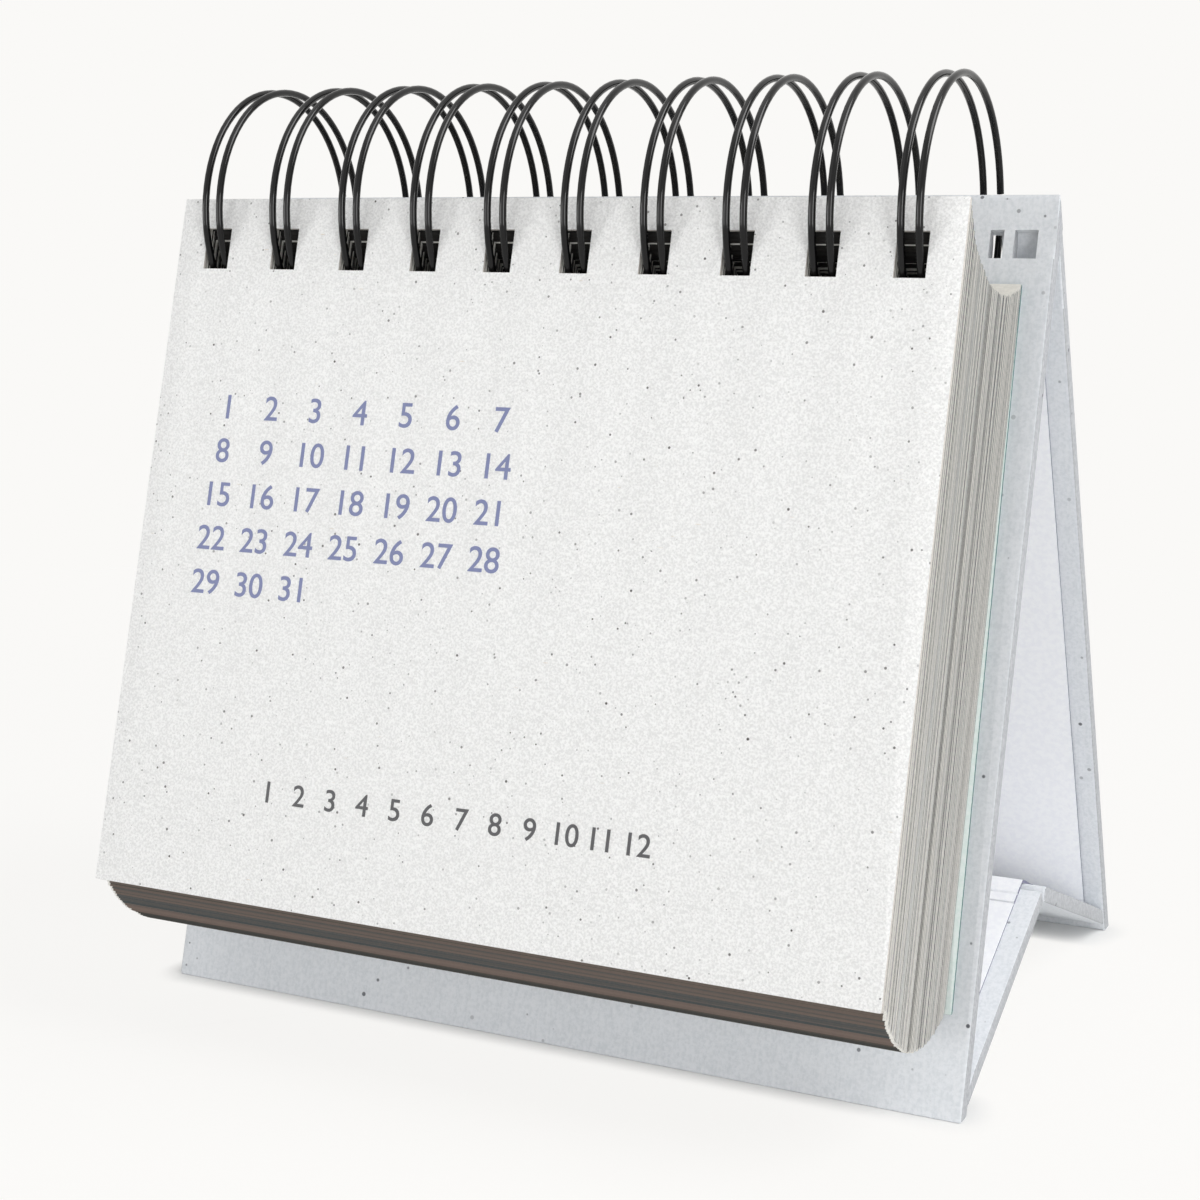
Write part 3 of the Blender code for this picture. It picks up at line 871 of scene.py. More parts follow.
@dataclass
class LeafBlock:
    """Cover, leaves by the month and the mint last sheet, hung on the ring."""

    layout: Layout
    dresser: Dresser
    crushed_edge: float = 0.1 * MM
    leaves_in_pack: int = 12
    leaf_gap: float = 0.03 * MM
    stray_across: float = 0.14 * MM
    stray_down: float = 0.2 * MM
    skew: float = math.radians(0.1)
    stray_skew: float = math.radians(0.05)
    new_sheaf: float = 0.38
    dark_tones: tuple[float, float] = (0, 0.45)
    light_tones: tuple[float, float] = (0.55, 1)
    tone_stray: float = 0.06
    unshaded_slots: float = 0.12
    rim_reach: float = 0.1 * MM
    foot_band_margin: float = 0.5 * MM
    packs_with_foot_band: int = 6
    foot_tone_drift: int = 4
    foot_tone_stray: float = 0.16
    # Height of the dark foot band: ink, and painted shade under the leaf in front
    foot_ink_and_shade: float = 1.3 * MM
    # Height of the band of painted shade above each slot
    slot_shade_band: float = 0.9 * MM
    last_edge: float = 0.08 * MM
    last_drop: float = 0.6 * MM
    last_skew: float = math.radians(0.66)
    seed: int = 7

    def slots(self, edge: float, height: float) -> list[Hole]:
        """Slots of a sheet, an edge's width below its top."""
        half = self.layout.slot_width / 2
        return [Hole(x - half, x + half, edge, edge + height) for x in self.layout.loop_places]

    def sheet(self, thickness: float) -> bmesh.types.BMesh:
        """Punch a sheet of the leaves' size.

        Args:
            thickness: Thickness of the sheet.

        Returns:
            The sheet with its slots, in its own frame.
        """
        lay = self.layout
        slots = self.slots(lay.leaf_slot_edge, lay.leaf_slot_height)
        return plate(lay.leaf_width, lay.leaf_height, thickness, slots, lay.sheet_corner)

    def build(self) -> None:
        """Make every sheet of the block."""
        self.cover()
        near = self.layout.cover_thickness + self.layout.fit
        chance = random.Random(self.seed)
        for month in range(1, self.layout.pack_count + 1):
            self.pack(month, near, chance)
            near += self.layout.pack_thickness + self.layout.fit
        self.last_sheet(near)

    def cover(self) -> None:
        """Card cover with punched slots and softly crushed edges."""
        lay = self.layout
        slots = self.slots(lay.slot_edge, lay.slot_height)
        shape = plate(lay.cover_width, lay.cover_height, lay.cover_thickness, slots, lay.sheet_corner)
        mark_rim(shape)
        soften(shape, square_edges(shape), self.crushed_edge)
        place(shape, lay.cover_face)
        self.dresser.piece("cover_card", shape, [COVER_CARD, CARD_RIM_SHADE], "cover", Slot.COVER, ["front_cover"])

    def mark_cuts(self, leaf: bmesh.types.BMesh, has_foot_band: bool) -> None:
        """Tell a leaf's page and head from its cut sides, its foot, which ink and painted shade darken, and its
        slots, which painted shade darkens.

        Args:
            leaf: Leaf in its own frame.
            has_foot_band: Whether the foot gets the dark band of ink and painted shade.
        """
        lay = self.layout
        ink_and_shade = self.foot_ink_and_shade - lay.leaf_height
        shaded_to = self.slot_shade_band - lay.leaf_slot_edge
        bare = lay.leaf_width / 2 - self.foot_band_margin
        for drop in (ink_and_shade, shaded_to):
            saw(leaf, Vector((0, 0, drop)), Vector((0, 0, 1)), False)
        for across in (-bare, bare):
            saw(leaf, Vector((across, 0, 0)), Vector((1, 0, 0)), False)
        half = lay.slot_width / 2
        for side in leaf.faces:
            middle = side.calc_center_median()
            by_slot = any(abs(middle.x - x) < half for x in lay.loop_places)
            if middle.z > -self.rim_reach:
                part = LeafPart.PAGE
            elif abs(middle.x) > lay.leaf_width / 2 - self.rim_reach:
                part = LeafPart.SIDE
            elif middle.z < ink_and_shade and has_foot_band and abs(middle.x) < bare:
                part = LeafPart.FOOT
            elif middle.z < self.rim_reach - lay.leaf_height:
                part = LeafPart.SIDE
            # Painted shade: slot walls and the band of page above each slot
            elif abs(side.normal.y) < FACING or by_slot and -lay.leaf_slot_edge < middle.z < shaded_to:
                part = LeafPart.SLOT
            else:
                part = LeafPart.PAGE
            side.material_index = part

    def pack(self, month: int, near: float, chance: random.Random) -> None:
        """One month of loose leaves, each hanging from the wire by its own slots.

        Args:
            month: Number of the pack, from the cover.
            near: Depth of its first leaf.
            chance: Source of the leaves' small strays.
        """
        lay = self.layout
        pitch = (lay.pack_thickness + lay.fit) / self.leaves_in_pack
        leaf = self.sheet(pitch - self.leaf_gap)
        self.mark_cuts(leaf, month <= self.packs_with_foot_band)
        template = bpy.data.meshes.new("leaf_template")
        leaf.to_mesh(template)
        leaf.free()
        shape = bmesh.new()
        for name in ("leaf_tone", "foot_tone"):
            shape.verts.layers.float.new(name)
        leaf_tone = shape.verts.layers.float["leaf_tone"]
        foot_tone = shape.verts.layers.float["foot_tone"]
        tone = chance.random()
        for number in range(self.leaves_in_pack):
            depth = near + number * pitch
            drop = lay.leaf_drop(depth) + chance.uniform(-1, 1) * self.stray_down
            shift = Vector((chance.uniform(-1, 1) * self.stray_across, depth, -drop))
            turn = self.skew * depth / lay.stack_depth + chance.uniform(-1, 1) * self.stray_skew
            if chance.random() < self.new_sheaf:
                tone = chance.uniform(*(self.dark_tones if tone > 0.5 else self.light_tones))
            old_verts, old_faces = len(shape.verts), len(shape.faces)
            shape.from_mesh(template)
            shape.verts.ensure_lookup_table()
            shape.faces.ensure_lookup_table()
            fresh = shape.verts[old_verts:]
            # A few leaves keep pale slot walls, without the painted shade
            if chance.random() < self.unshaded_slots:
                for side in shape.faces[old_faces:]:
                    if side.material_index == LeafPart.SLOT:
                        side.material_index = LeafPart.PAGE
            bmesh.ops.translate(shape, verts=fresh, vec=shift)
            bmesh.ops.rotate(shape, verts=fresh, cent=shift, matrix=Matrix.Rotation(-turn, 3, "Y"))
            shown = tone + chance.uniform(-1, 1) * self.tone_stray
            months = month - 1 + number / self.leaves_in_pack
            ink_and_shade = months / self.foot_tone_drift % 1 + chance.uniform(-1, 1) * self.foot_tone_stray
            for vert in fresh:
                vert[leaf_tone] = shown
                vert[foot_tone] = ink_and_shade
        bpy.data.meshes.remove(template)
        place(shape, lay.cover_face)
        self.dresser.piece(f"month_leaves_{month:02d}", shape, [LEAF_PAGE, LEAF_SIDE, LEAF_FOOT_INK_AND_SHADE, SLOT_SHADE],
                           f"leaves_{month:02d}", Slot.LEAF, [f"leaf_pack_{month:02d}"], smooth=False)

    def last_sheet(self, near: float) -> None:
        """Mint sheet at the back of the block, hanging a little askew.

        Args:
            near: Depth of its front.
        """
        lay = self.layout
        shape = self.sheet(lay.back_sheet_thickness)
        mark_rim(shape)
        soften(shape, square_edges(shape), self.last_edge)
        turn = Matrix.Rotation(-self.last_skew, 3, "Y")
        bmesh.ops.rotate(shape, verts=shape.verts, cent=(0, 0, 0), matrix=turn)
        drop = lay.leaf_drop(near) + self.last_drop
        bmesh.ops.translate(shape, verts=shape.verts, vec=(0, near, -drop))
        place(shape, lay.cover_face)
        self.dresser.piece("mint_last_sheet", shape, [MINT_PAPER, MINT_RIM], "last_sheet", Slot.MINT, ["back_sheet"])


@dataclass
class CoverPrint:
    """Plain numbers printed on the cover: the days in a grid, and the months in a row below.

    Places are across the cover's middle and down from its top edge.
    """

    layout: Layout
    dresser: Dresser
    rise: float = 0.06 * MM
    rounding: float = 0.03 * MM
    curve_steps: int = 6
    sliver_width: float = 0.002 * MM
    days: int = 31
    week: int = 7
    first_day: tuple[float, float] = (-51.0 * MM, 33.5 * MM)
    day_step: tuple[float, float] = (8.1 * MM, 6.9 * MM)
    day_size: float = 5.4 * MM
    day_ink: PuffInk = PuffInk("slate_violet_puff_ink", "#7F86AC", "#767DA3")
    months: int = 12
    first_month: tuple[float, float] = (-34.5 * MM, 92.0 * MM)
    month_step: float = 5.6 * MM
    month_size: float = 4.6 * MM
    month_ink: PuffInk = PuffInk("charcoal_screen_ink", "#565658", "#4C4C4E")

    def build(self) -> None:
        """Print both groups of numbers."""
        across, drop = self.first_day
        days = []
        for number in range(self.days):
            row, column = divmod(number, self.week)
            days.append((str(number + 1), across + column * self.day_step[0], drop + row * self.day_step[1]))
        self.numbers("printed_days", days, self.day_size, self.day_ink)
        across, drop = self.first_month
        months = [(str(i + 1), across + i * self.month_step, drop) for i in range(self.months)]
        self.numbers("printed_months", months, self.month_size, self.month_ink)

    def numbers(self, name: str, entries: Sequence[tuple[str, float, float]], size: float, ink: PuffInk) -> None:
        """Print numbers on the cover.

        Args:
            name: Name of the piece.
            entries: Number, place across and drop of each.
            size: Height of the type.
            ink: Finish of the ink.
        """
        shape = bmesh.new()
        for text, across, drop in entries:
            data = bpy.data.curves.new(name, "FONT")
            data.body = text
            data.size = size
            data.align_x = "CENTER"
            data.align_y = "CENTER"
            data.extrude = self.rise / 2
            data.bevel_depth = self.rounding
            data.resolution_u = self.curve_steps
            upright = Matrix.Rotation(math.pi / 2, 4, "X")
            add_drawn(shape, data, Matrix.Translation((across, 0, -drop)) @ upright)
        bmesh.ops.remove_doubles(shape, verts=shape.verts, dist=WELD)
        bmesh.ops.dissolve_degenerate(shape, dist=self.sliver_width, edges=shape.edges)
        slivers = [f for f in shape.faces if f.calc_area() < SLIVER_AREA]
        longest = [max(f.edges, key=lambda edge: edge.calc_length()) for f in slivers]
        bmesh.ops.dissolve_edges(shape, edges=longest)
        bmesh.ops.recalc_face_normals(shape, faces=shape.faces)
        place(shape, self.layout.cover_face)
        self.dresser.piece(name, shape, [ink], "cover", Slot.COVER)


@dataclass
class BindingWire:
    """One unbroken wire of twin loops, drawn finer than the frame's."""

    layout: Layout
    dresser: Dresser
    loop_points: int = 72
    bend_steps: int = 6
    tip_steps: int = 10
    tube_steps: int = 4
    seam_angle: float = math.radians(6.0)
    seam_gap: float = 0.8 * MM
    bend: float = 1.4 * MM

    def route(self) -> list[Vector]:
        """Lay the wire out flat, loop by loop, and roll it round the ring.

        Returns:
            Points along the wire, in the calendar's frame.
        """
        lay = self.layout
        half = lay.twin_spacing / 2
        radius = lay.ring_radius
        bend = self.bend
        root = self.seam_angle * radius
        tip = root + 2 * math.pi * radius - lay.wire_diameter - self.seam_gap - half
        start = root + bend
        rise = [start + (tip - start) * i / (self.loop_points - 1) for i in range(self.loop_points)]
        quarter = [math.pi / 2 * i / self.bend_steps for i in range(self.bend_steps + 1)]
        turn_back = [math.pi * i / self.tip_steps for i in range(1, self.tip_steps)]
        flat: list[tuple[float, float]] = []
        for number, x in enumerate(lay.loop_places):
            left, right = x - half, x + half
            if number > 0:
                flat += [(left - bend + bend * math.sin(a), start - bend * math.cos(a)) for a in quarter[:-1]]
            flat += [(left, along) for along in rise]
            flat += [(x - half * math.cos(a), tip + half * math.sin(a)) for a in turn_back]
            flat += [(right, along) for along in reversed(rise)]
            if number < lay.slot_count - 1:
                flat += [(right + bend - bend * math.cos(a), start - bend * math.sin(a)) for a in quarter[1:]]
        centre = lay.ring_centre
        return [Vector((x, *(centre + heading(along / radius) * radius))) for x, along in flat]

    def build(self) -> None:
        """Draw the wire as a round tube."""
        data = bpy.data.curves.new("twin_loop_wire", "CURVE")
        data.dimensions = "3D"
        data.bevel_depth = self.layout.wire_diameter / 2
        data.bevel_resolution = self.tube_steps
        data.use_fill_caps = True
        points = self.route()
        spline = data.splines.new("POLY")
        spline.points.add(len(points) - 1)
        for knot, point in zip(spline.points, points):
            knot.co = (*point, 1)
        shape = bmesh.new()
        add_drawn(shape, data, Matrix.Identity(4))
        bmesh.ops.remove_doubles(shape, verts=shape.verts, dist=WELD)
        bmesh.ops.recalc_face_normals(shape, faces=shape.faces)
        self.dresser.piece("twin_loop_wire", shape, [CoatedWire()], "easel_front", Slot.WIRE, ["binding_wire"])


@dataclass
class Easel:
    """Folding easel: two tall boards, two base flaps, their linings and the paper hinges.

    A wrapped board is the frame's board with its paper on the inner face.
    """

    layout: Layout
    dresser: Dresser
    wrapped: float = 2.5 * MM
    edge: float = 0.35 * MM
    edge_steps: int = 3
    foot_corner: float = 0.45 * MM
    foot_steps: int = 4
    front_slots: tuple[float, float] = (16.53 * MM, 22.32 * MM)
    back_slots: tuple[float, float] = (5.27 * MM, 16.8 * MM)
    back_slot_play: float = 0.5 * MM
    peeps: tuple[tuple[float, float], ...] = ((4.5 * MM, 3.5 * MM), (8.9 * MM, 2.1 * MM))
    peep_upper: float = 4.85 * MM
    peep_lower: float = 9.15 * MM
    ridge_fold: float = math.radians(28)
    front_fold: float = math.radians(39.25)
    fold_play: float = 0.03 * MM
    flap_root: float = 0.45 * MM
    crest_gap: float = 0.3 * MM
    lining: float = 0.38 * MM
    lining_corner: float = 0.4 * MM
    lining_edge: float = 0.06 * MM
    slot_margin: float = 2 * MM
    corner_margin: float = 8 * MM
    back_margin: float = 2 * MM
    crest_margin: float = 4.3 * MM
    tail_margin: float = 1 * MM
    paste: float = 0.01 * MM
    ridge_inset: float = 0.1 * MM
    ridge_turn: float = 0.3 * MM
    hinge_paper: float = 0.3 * MM
    knee_paper: float = 0.45 * MM
    hinge_turn: float = 0.8 * MM
    tail_start: float = 0.05 * MM
    tail_gap: float = 0.6 * MM
    tail_inset: float = 0.2 * MM
    tail_kept: float = 0.15

    def build(self) -> None:
        """Make the whole easel."""
        self.tall_boards()
        self.base_flaps()
        self.linings()
        self.ridge_paper()
        self.front_paper()
        self.crest_paper()
        self.rear_paper()

    def ease(self, shape: bmesh.types.BMesh, pivot: Vector, angle: float, play: float) -> None:
        """Saw off what would strike its neighbour at the end of a fold.

        Args:
            shape: Board in its face's own frame.
            pivot: Point of the hinge line.
            angle: Way towards the neighbour, from the board's depth.
            play: Distance that is kept free.
        """
        towards = Vector((0, *heading(angle)))
        slice_flat(shape, pivot - towards * play, towards)

    def tall_board(self, name: str, face: Face, holes: Sequence[Hole], body: str, node: str) -> None:
        """Board that is mitred at the ridge, eased there so that the easel folds, and stands on the table.

        Args:
            name: Name of the piece.
            face: Outer face, from the ridge.
            holes: Punched holes.
            body: Body that it rides on.
            node: Frame node that it stands for.
        """
        lay = self.layout
        opening = lay.half_opening
        length = face.top.y / -face.down.y
        shape = plate(lay.easel_width, length + 2 * self.wrapped, self.wrapped, holes)
        mitre = lay.fit / 2 / math.sin(opening)
        slice_flat(shape, Vector((0, 0, -mitre)), Vector((0, 1 / math.tan(opening), 1)))
        pivot = Vector((0, lay.board, -lay.board / math.tan(opening)))
        self.ease(shape, pivot, opening - self.ridge_fold / 2, self.fold_play)
        place(shape, face)
        slice_flat(shape, Vector((0, 0, 0)), Vector((0, 0, -1)))
        side = lay.easel_width / 2 - TOUCH
        feet = [e for e in shape.edges if all(abs(v.co.x) > side and v.co.z < TOUCH for v in e.verts)]
        soften(shape, feet, self.foot_corner, self.foot_steps)
        low, high = 2 * self.foot_corner, face.top.y - 4 * self.wrapped
        rims = [e for e in square_edges(shape)
                if (all(abs(v.co.x) > side for v in e.verts) or all(v.co.z < low for v in e.verts))
                and not all(v.co.z > high for v in e.verts)]
        soften(shape, rims, self.edge, self.edge_steps)
        bmesh.ops.recalc_face_normals(shape, faces=shape.faces)
        mark_ends(shape)
        self.dresser.piece(name, shape, [GREY_WRAP, WRAP_EDGE_SHADE], body, Slot.WRAP, [node])

    def tall_boards(self) -> None:
        """Front and back board with their ring slots and the small holes at the front board's ends."""
        lay = self.layout
        half = lay.slot_width / 2
        front = [Hole(x - half, x + half, *self.front_slots) for x in lay.loop_places]
        for inset, width in self.peeps:
            for side in (-1, 1):
                middle = side * (lay.easel_width / 2 - inset)
                front.append(Hole(middle - width / 2, middle + width / 2, self.peep_upper, self.peep_lower))
        half += self.back_slot_play
        back = [Hole(x - half, x + half, *self.back_slots) for x in lay.loop_places]
        self.tall_board("wrapped_front_board", lay.front_face, front, "easel_front", "front_board")
        self.tall_board("wrapped_back_board", lay.back_face, back, "easel_back", "back_board")

    def flap(self, name: str, shape: bmesh.types.BMesh, face: Face, start: float, body: str, slot: Slot,
             node: str) -> bpy.types.Object:
        """Round a slab of the base, put it in its place and wrap it.

        Args:
            name: Name of the piece.
            shape: Slab in its face's own frame.
            face: Underside that it lies on.
            start: Drop of its upper edge.
            body: Body that it rides on.
            slot: Material slot of the record.
            node: Frame node that it stands for.

        Returns:
            The piece.
        """
        soften(shape, square_edges(shape), self.edge, self.edge_steps)
        place(shape, Face(face.at(start), face.down, face.into))
        mark_ends(shape)
        return self.dresser.piece(name, shape, [GREY_WRAP, WRAP_EDGE_SHADE], body, slot, [node])

    def base_flaps(self) -> None:
        """Two flaps that brace the easel's feet. The front one is slanted and eased where it folds up."""
        lay = self.layout
        front = lay.front_flap_face
        start = front.drop_of(lay.front_pivot) + self.flap_root
        shape = plate(lay.easel_width, lay.front_flap_length - self.crest_gap - start, self.wrapped)
        opening = math.acos(front.down.dot(-lay.front_face.down))
        for vert in shape.verts:
            if vert.co.z > -TOUCH:
                vert.co.z = (vert.co.y - lay.board) * math.tan(opening - math.pi / 2)
        pivot = Vector((0, lay.board, self.flap_root))
        self.ease(shape, pivot, opening - self.front_fold, self.wrapped - lay.board + self.fold_play)
        self.flap("wrapped_front_flap", shape, front, start, "base_front", Slot.WRAP, "base_front_flap")
        shape = plate(lay.easel_width, lay.rear_flap_end - self.crest_gap, self.wrapped)
        self.flap("wrapped_rear_flap", shape, lay.rear_flap_face, self.crest_gap, "base_rear", Slot.WRAP,
                  "base_rear_flap")

    def sheet_on(self, name: str, face: Face, first: float, last: float, body: str, node: str) -> None:
        """Lining sheet pasted on a board's inner face, inside the turned-in wrap.

        Args:
            name: Name of the piece.
            face: Outer face of the board.
            first: Drop of its upper edge.
            last: Drop of its lower edge.
            body: Body that it rides on.
            node: Frame node that it stands for.
        """
        lay = self.layout
        shape = plate(lay.easel_width - 2 * lay.turn_in, last - first, self.lining, corner=self.lining_corner)
        mark_rim(shape)
        soften(shape, square_edges(shape), self.lining_edge)
        bmesh.ops.translate(shape, verts=shape.verts, vec=(0, self.wrapped + self.paste, -first))
        place(shape, face)
        self.dresser.piece(name, shape, [WHITE_LINING, LINING_RIM], body, Slot.LINING, [node])

    def linings(self) -> None:
        """White linings of the four boards."""
        lay = self.layout
        front, back, flap = lay.front_face, lay.back_face, lay.front_flap_face
        self.sheet_on("front_board_lining", front, self.front_slots[1] + self.slot_margin,
                      front.drop_of(lay.front_pivot) - self.corner_margin, "easel_front", "front_lining")
        self.sheet_on("back_board_lining", back, self.back_slots[1] + self.slot_margin,
                      back.drop_of(lay.rear_corner) - self.back_margin, "easel_back", "back_lining")
        self.sheet_on("front_flap_lining", flap, flap.drop_of(lay.front_pivot) + self.corner_margin,
                      lay.front_flap_length - self.crest_margin, "base_front", "base_front_lining")
        self.sheet_on("rear_flap_lining", lay.rear_flap_face, self.crest_margin,
                      lay.rear_flap_end - self.tail_margin, "base_rear", "base_rear_lining")

    def ridge_paper(self) -> None:
        """Wrap over the ridge, thinning out onto both boards."""
        lay = self.layout
        front, back = lay.front_face, lay.back_face
        reach = [4.2 * MM, 3.0 * MM, 1.8 * MM, 0.8 * MM, 0.25 * MM]
        thinned = [(0.005 * MM, high * MM) for high in (0.03, 0.08, 0.16, 0.24, 0.3)]
        line = [front.at(d) for d in reach] + [lay.ridge] + [back.at(d) for d in reversed(reach)]
        sides = [-front.into] * len(reach) + [Vector((0, 1))] + [-back.into] * len(reach)
        lifts = thinned + [(0.02 * MM, 0.42 * MM)] + thinned[::-1]
        shape = strip(line, lifts, sides, lay.easel_width - 2 * self.ridge_inset)
        made = self.dresser.piece("ridge_wrap", shape, [GREY_WRAP], None, Slot.HINGE, ["ridge_hinge_paper"])
        y, z = lay.ridge
        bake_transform(made, "easel_front", "easel_back", start=(0, y - self.ridge_turn, z), end=(0, y + self.ridge_turn, z))

    def front_paper(self) -> None:
        """Lining that runs round the inside corner between the front board and the front flap."""
        lay = self.layout
        first, second = -lay.front_face.down, lay.front_flap_face.down
        corner = lay.inner_corner(lay.front_foot, first, second, self.wrapped)
        inward = (first + second).normalized()
        knee = 1 / math.sin(math.acos(first.dot(second)) / 2)
        reach = [8.2 * MM, 5 * MM, 2.5 * MM, 1.2 * MM]
        line = [corner + first * d for d in reach] + [corner] + [corner + second * d for d in reversed(reach)]
        first_side, second_side = ((inward - way * inward.dot(way)).normalized() for way in (first, second))
        sides = [first_side] * len(reach) + [inward] + [second_side] * len(reach)
        flat = [(self.paste, self.hinge_paper)] * len(reach)
        lifts = flat + [(self.paste, self.knee_paper * knee)] + flat
        shape = strip(line, lifts, sides, lay.easel_width - 2 * lay.turn_in)
        mark_ends(shape)
        made = self.dresser.piece(
            "front_corner_paper", shape, [WHITE_LINING, LINING_RIM], None, Slot.HINGE, ["front_hinge_paper"])
        across = (first - second).normalized() * self.hinge_turn
        start, end = corner + across, corner - across
        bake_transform(made, "easel_front", "base_front", start=(0, start.x, start.y), end=(0, end.x, end.y))

    def crest_paper(self) -> None:
        """White ledge over the crest, scored once on the way down to the front flap."""
        lay = self.layout
        front, rear = lay.front_flap_face, lay.rear_flap_face
        up = (front.into + rear.into).normalized()
        top = lay.crest + up * (self.wrapped / up.dot(front.into))
        on_front = [4.3, 4.15, 2.5, 2.25, 2.0, 0.9, 0.5]
        on_rear = [0.7, 2.2, 4.2]
        line = [front.at(lay.front_flap_length - d * MM, self.wrapped) for d in on_front]
        line += [top] + [rear.at(d * MM, self.wrapped) for d in on_rear]
        sides = [front.into] * len(on_front) + [up] + [rear.into] * len(on_rear)
        outer = [0.12, 0.6, 0.62, 0.25, 0.64, 0.7, 0.55, 0.5, 0.5, 0.42, 0.3]
        shape = strip(line, [(self.paste, high * MM) for high in outer], sides, lay.easel_width - 2 * lay.turn_in)
        mark_ends(shape)
        made = self.dresser.piece(
            "crest_paper", shape, [WHITE_LINING, LINING_RIM], None, Slot.HINGE, ["crest_hinge_paper"])
        y, z = top
        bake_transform(made, "base_front", "base_rear", start=(0, y - self.hinge_turn, z), end=(0, y + self.hinge_turn, z))

    def rear_paper(self) -> None:
        """Padded tail of the rear flap, all paper, between the flap and the back board."""
        lay = self.layout
        rear = lay.rear_flap_face
        start = lay.rear_flap_end + self.tail_start
        length = lay.rear_flap_gap - self.tail_gap
        shape = plate(lay.easel_width - 2 * self.tail_inset, length, self.wrapped)
        slant = math.tan(math.acos((-rear.down).dot(-lay.back_face.down)) - math.pi / 2)
        for vert in shape.verts:
            if vert.co.z < TOUCH - length:
                vert.co.z -= (vert.co.y - lay.board) * slant
        made = self.flap("rear_corner_paper", shape, rear, start, "base_rear", Slot.HINGE, "rear_hinge_paper")
        anchor = rear.at(start)
        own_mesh(made)


@dataclass(frozen=True)
class Softbox:
    """Square soft lamp that faces the calendar, with its side in metres and its power in watts."""

    name: str
    spot: tuple[float, float, float]
    side: float
    power: float

    def hang(self, aim: Vector) -> None:
        """Hang the lamp.

        Args:
            aim: Point that it faces.
        """
        data = bpy.data.lights.new(self.name, "AREA")
        data.size = self.side
        data.energy = self.power
        made = bpy.data.objects.new(self.name, data)
        made.location = self.spot
        made.rotation_euler = (aim - Vector(self.spot)).to_track_quat("-Z", "Y").to_euler()
        bpy.context.scene.collection.objects.link(made)


# Key and top light, a small low lamp that draws streaks on the wire, and fills from the front and the right
SOFTBOXES = (
    Softbox("soft_key", (-0.8, -1.1, 1.0), 1.0, 1.3),
    Softbox("top_softbox", (0.05, -0.15, 1.5), 1.2, 2.5),
    Softbox("wire_spark", (-0.9, -0.8, 0.17), 0.3, 2.4),
    Softbox("left_fill", (-0.5, -1.2, 0.1), 0.8, 2.2),
    Softbox("front_fill", (0.1, -1.5, 0.12), 0.8, 1.0),
    Softbox("easel_fill", (1.0, -0.9, 0.26), 0.5, 5.4),
    Softbox("side_fill", (0.95, 0.1, 1.05), 0.8, 12.0),
)


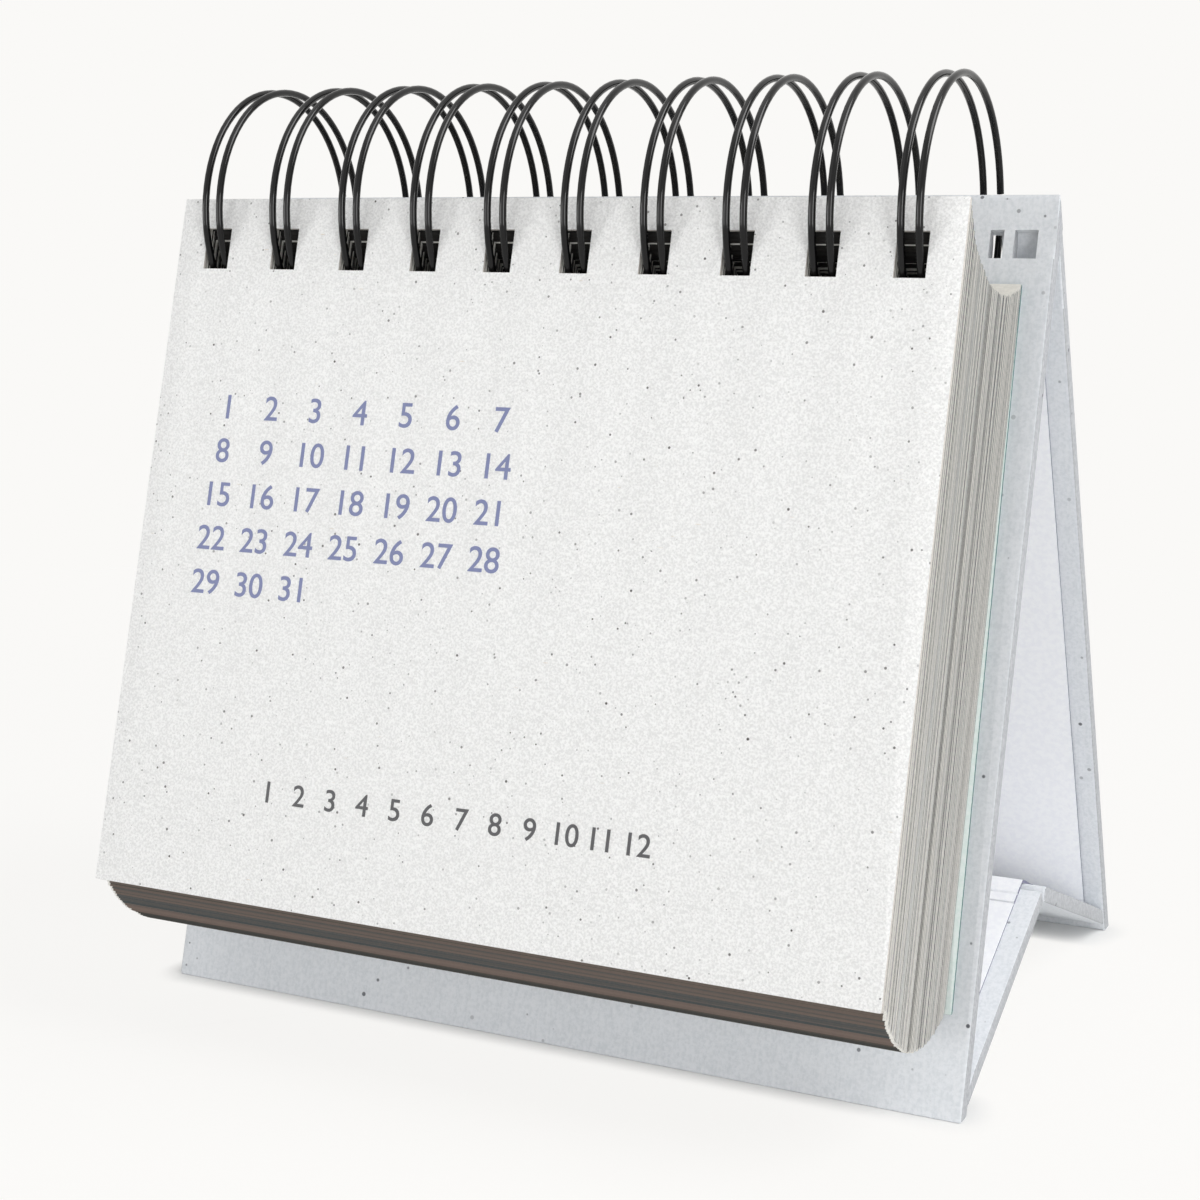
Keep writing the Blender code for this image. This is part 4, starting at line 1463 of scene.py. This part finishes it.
@dataclass
class Studio:
    """Pale floor, soft lamps and the camera."""

    layout: Layout
    backdrop: str = "#FAF9F7"
    floor_paper: str = "#F3F3F2"
    floor_reach: float = 30.0
    near_radius: float = 0.12
    far_radius: float = 0.45
    near_share: float = 0.9
    near_glow: float = 1.03
    contact_reach: float = 4.6 * MM
    contact_depth: float = 2.5
    contact_rays: int = 12
    sky: str = "#FFFFFF"
    sky_strength: float = 0.25
    aim_height: float = 70 * MM
    lens: float = 62.64
    sensor: float = 36.0
    azimuth: float = math.radians(26.05)
    tilt: float = math.radians(10.45)
    camera_offset: tuple[float, float, float] = (144.8 * MM, -277.2 * MM, -2.5 * MM)

    def build(self) -> None:
        """Set the stage."""
        self.floor()
        for softbox in SOFTBOXES:
            softbox.hang(Vector((0, 0, self.aim_height)))
        self.world()
        self.camera()
        bpy.context.scene.view_settings.view_transform = "Standard"

    def floor(self) -> None:
        """Wide floor that fades into the pale world and keeps the calendar's shadow."""
        shape = bmesh.new()
        bmesh.ops.create_grid(shape, x_segments=1, y_segments=1, size=self.floor_reach)
        mesh = bpy.data.meshes.new("paper_floor")
        shape.to_mesh(mesh)
        shape.free()
        made = bpy.data.objects.new("paper_floor", mesh)
        bpy.context.scene.collection.objects.link(made)
        mesh.materials.append(self.floor_material())

    def pale_to_eye(self, tree: bpy.types.NodeTree) -> bpy.types.NodeSocket:
        """Find what the camera sees, straight or in gloss and glass.

        Args:
            tree: Node tree to add to.

        Returns:
            Socket that is one there.
        """
        path = add_node(tree, "ShaderNodeLightPath")
        seen = path.outputs["Is Camera Ray"]
        for kind in ("Is Glossy Ray", "Is Transmission Ray"):
            either = add_node(tree, "ShaderNodeMath", {0: seen, 1: path.outputs[kind]}, operation="MAXIMUM")
            seen = either.outputs["Value"]
        return seen

    def floor_material(self) -> bpy.types.Material:
        """Seamless paper: close to the calendar it takes the shadow, and further off it is even and pale.

        Returns:
            The material.
        """
        material, tree, shader = new_material("seamless_backdrop_paper")
        shader.inputs["Base Color"].default_value = linear(self.floor_paper)
        shader.inputs["Roughness"].default_value = 1.0
        shader.inputs["Specular IOR Level"].default_value = 0.0
        where = add_node(tree, "ShaderNodeTexCoord").outputs["Object"]
        away = add_node(tree, "ShaderNodeVectorMath", {0: where}, operation="LENGTH").outputs["Value"]
        far = add_node(tree, "ShaderNodeMapRange", {
            "Value": away, "From Min": self.near_radius, "From Max": self.far_radius},
            interpolation_type="SMOOTHSTEP").outputs["Result"]
        share = add_node(tree, "ShaderNodeMapRange", {"Value": far, "To Min": self.near_share, "To Max": 1.0})
        power = add_node(tree, "ShaderNodeMapRange", {"Value": far, "To Min": self.near_glow, "To Max": 1.0})
        near = add_node(
            tree, "ShaderNodeAmbientOcclusion", {"Distance": self.contact_reach}, samples=self.contact_rays)
        factor = add_node(tree, "ShaderNodeMath", {
            0: near.outputs["AO"], 1: self.contact_depth}, operation="POWER").outputs["Value"]
        for socket in (share.outputs["Result"], self.pale_to_eye(tree)):
            factor = add_node(tree, "ShaderNodeMath", {0: factor, 1: socket}, operation="MULTIPLY").outputs["Value"]
        glow = add_node(tree, "ShaderNodeEmission", {
            "Color": linear(self.backdrop), "Strength": power.outputs["Result"]})
        mixed = add_node(tree, "ShaderNodeMixShader", {
            0: factor, 1: shader.outputs["BSDF"], 2: glow.outputs["Emission"]})
        tree.links.new(mixed.outputs["Shader"], tree.nodes["Material Output"].inputs["Surface"])
        return material

    def world(self) -> None:
        """Even studio light, with the backdrop's colour where the camera sees past the floor."""
        world = bpy.data.worlds.new("even_studio")
        world.use_nodes = True
        bpy.context.scene.world = world
        tree = world.node_tree
        sky = tree.nodes["Background"]
        sky.inputs["Color"].default_value = linear(self.sky)
        sky.inputs["Strength"].default_value = self.sky_strength
        paper = add_node(tree, "ShaderNodeBackground", {"Color": linear(self.backdrop), "Strength": 1.0})
        mixed = add_node(tree, "ShaderNodeMixShader", {
            0: self.pale_to_eye(tree), 1: sky.outputs["Background"], 2: paper.outputs["Background"]})
        tree.links.new(mixed.outputs["Shader"], tree.nodes["World Output"].inputs["Surface"])

    def camera(self) -> None:
        """Stand the camera where the photograph was taken."""
        data = bpy.data.cameras.new("photograph")
        data.lens = self.lens
        data.sensor_width = self.sensor
        data.sensor_fit = "HORIZONTAL"
        made = bpy.data.objects.new("photograph", data)
        top = self.layout.cover_face.top
        made.location = Vector((0, top.x, top.y)) + Vector(self.camera_offset)
        made.rotation_euler = (math.pi / 2 - self.tilt, 0, self.azimuth)
        bpy.context.scene.collection.objects.link(made)
        bpy.context.scene.camera = made


def main() -> None:
    """Build the calendar's looks over the frame."""
    logging.basicConfig(level=logging.INFO, format="%(message)s")
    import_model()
    dresser = Dresser()
    Studio(LAYOUT).build()
    Easel(LAYOUT, dresser).build()
    LeafBlock(LAYOUT, dresser).build()
    CoverPrint(LAYOUT, dresser).build()
    BindingWire(LAYOUT, dresser).build()


if __name__ == "__main__":
    main()
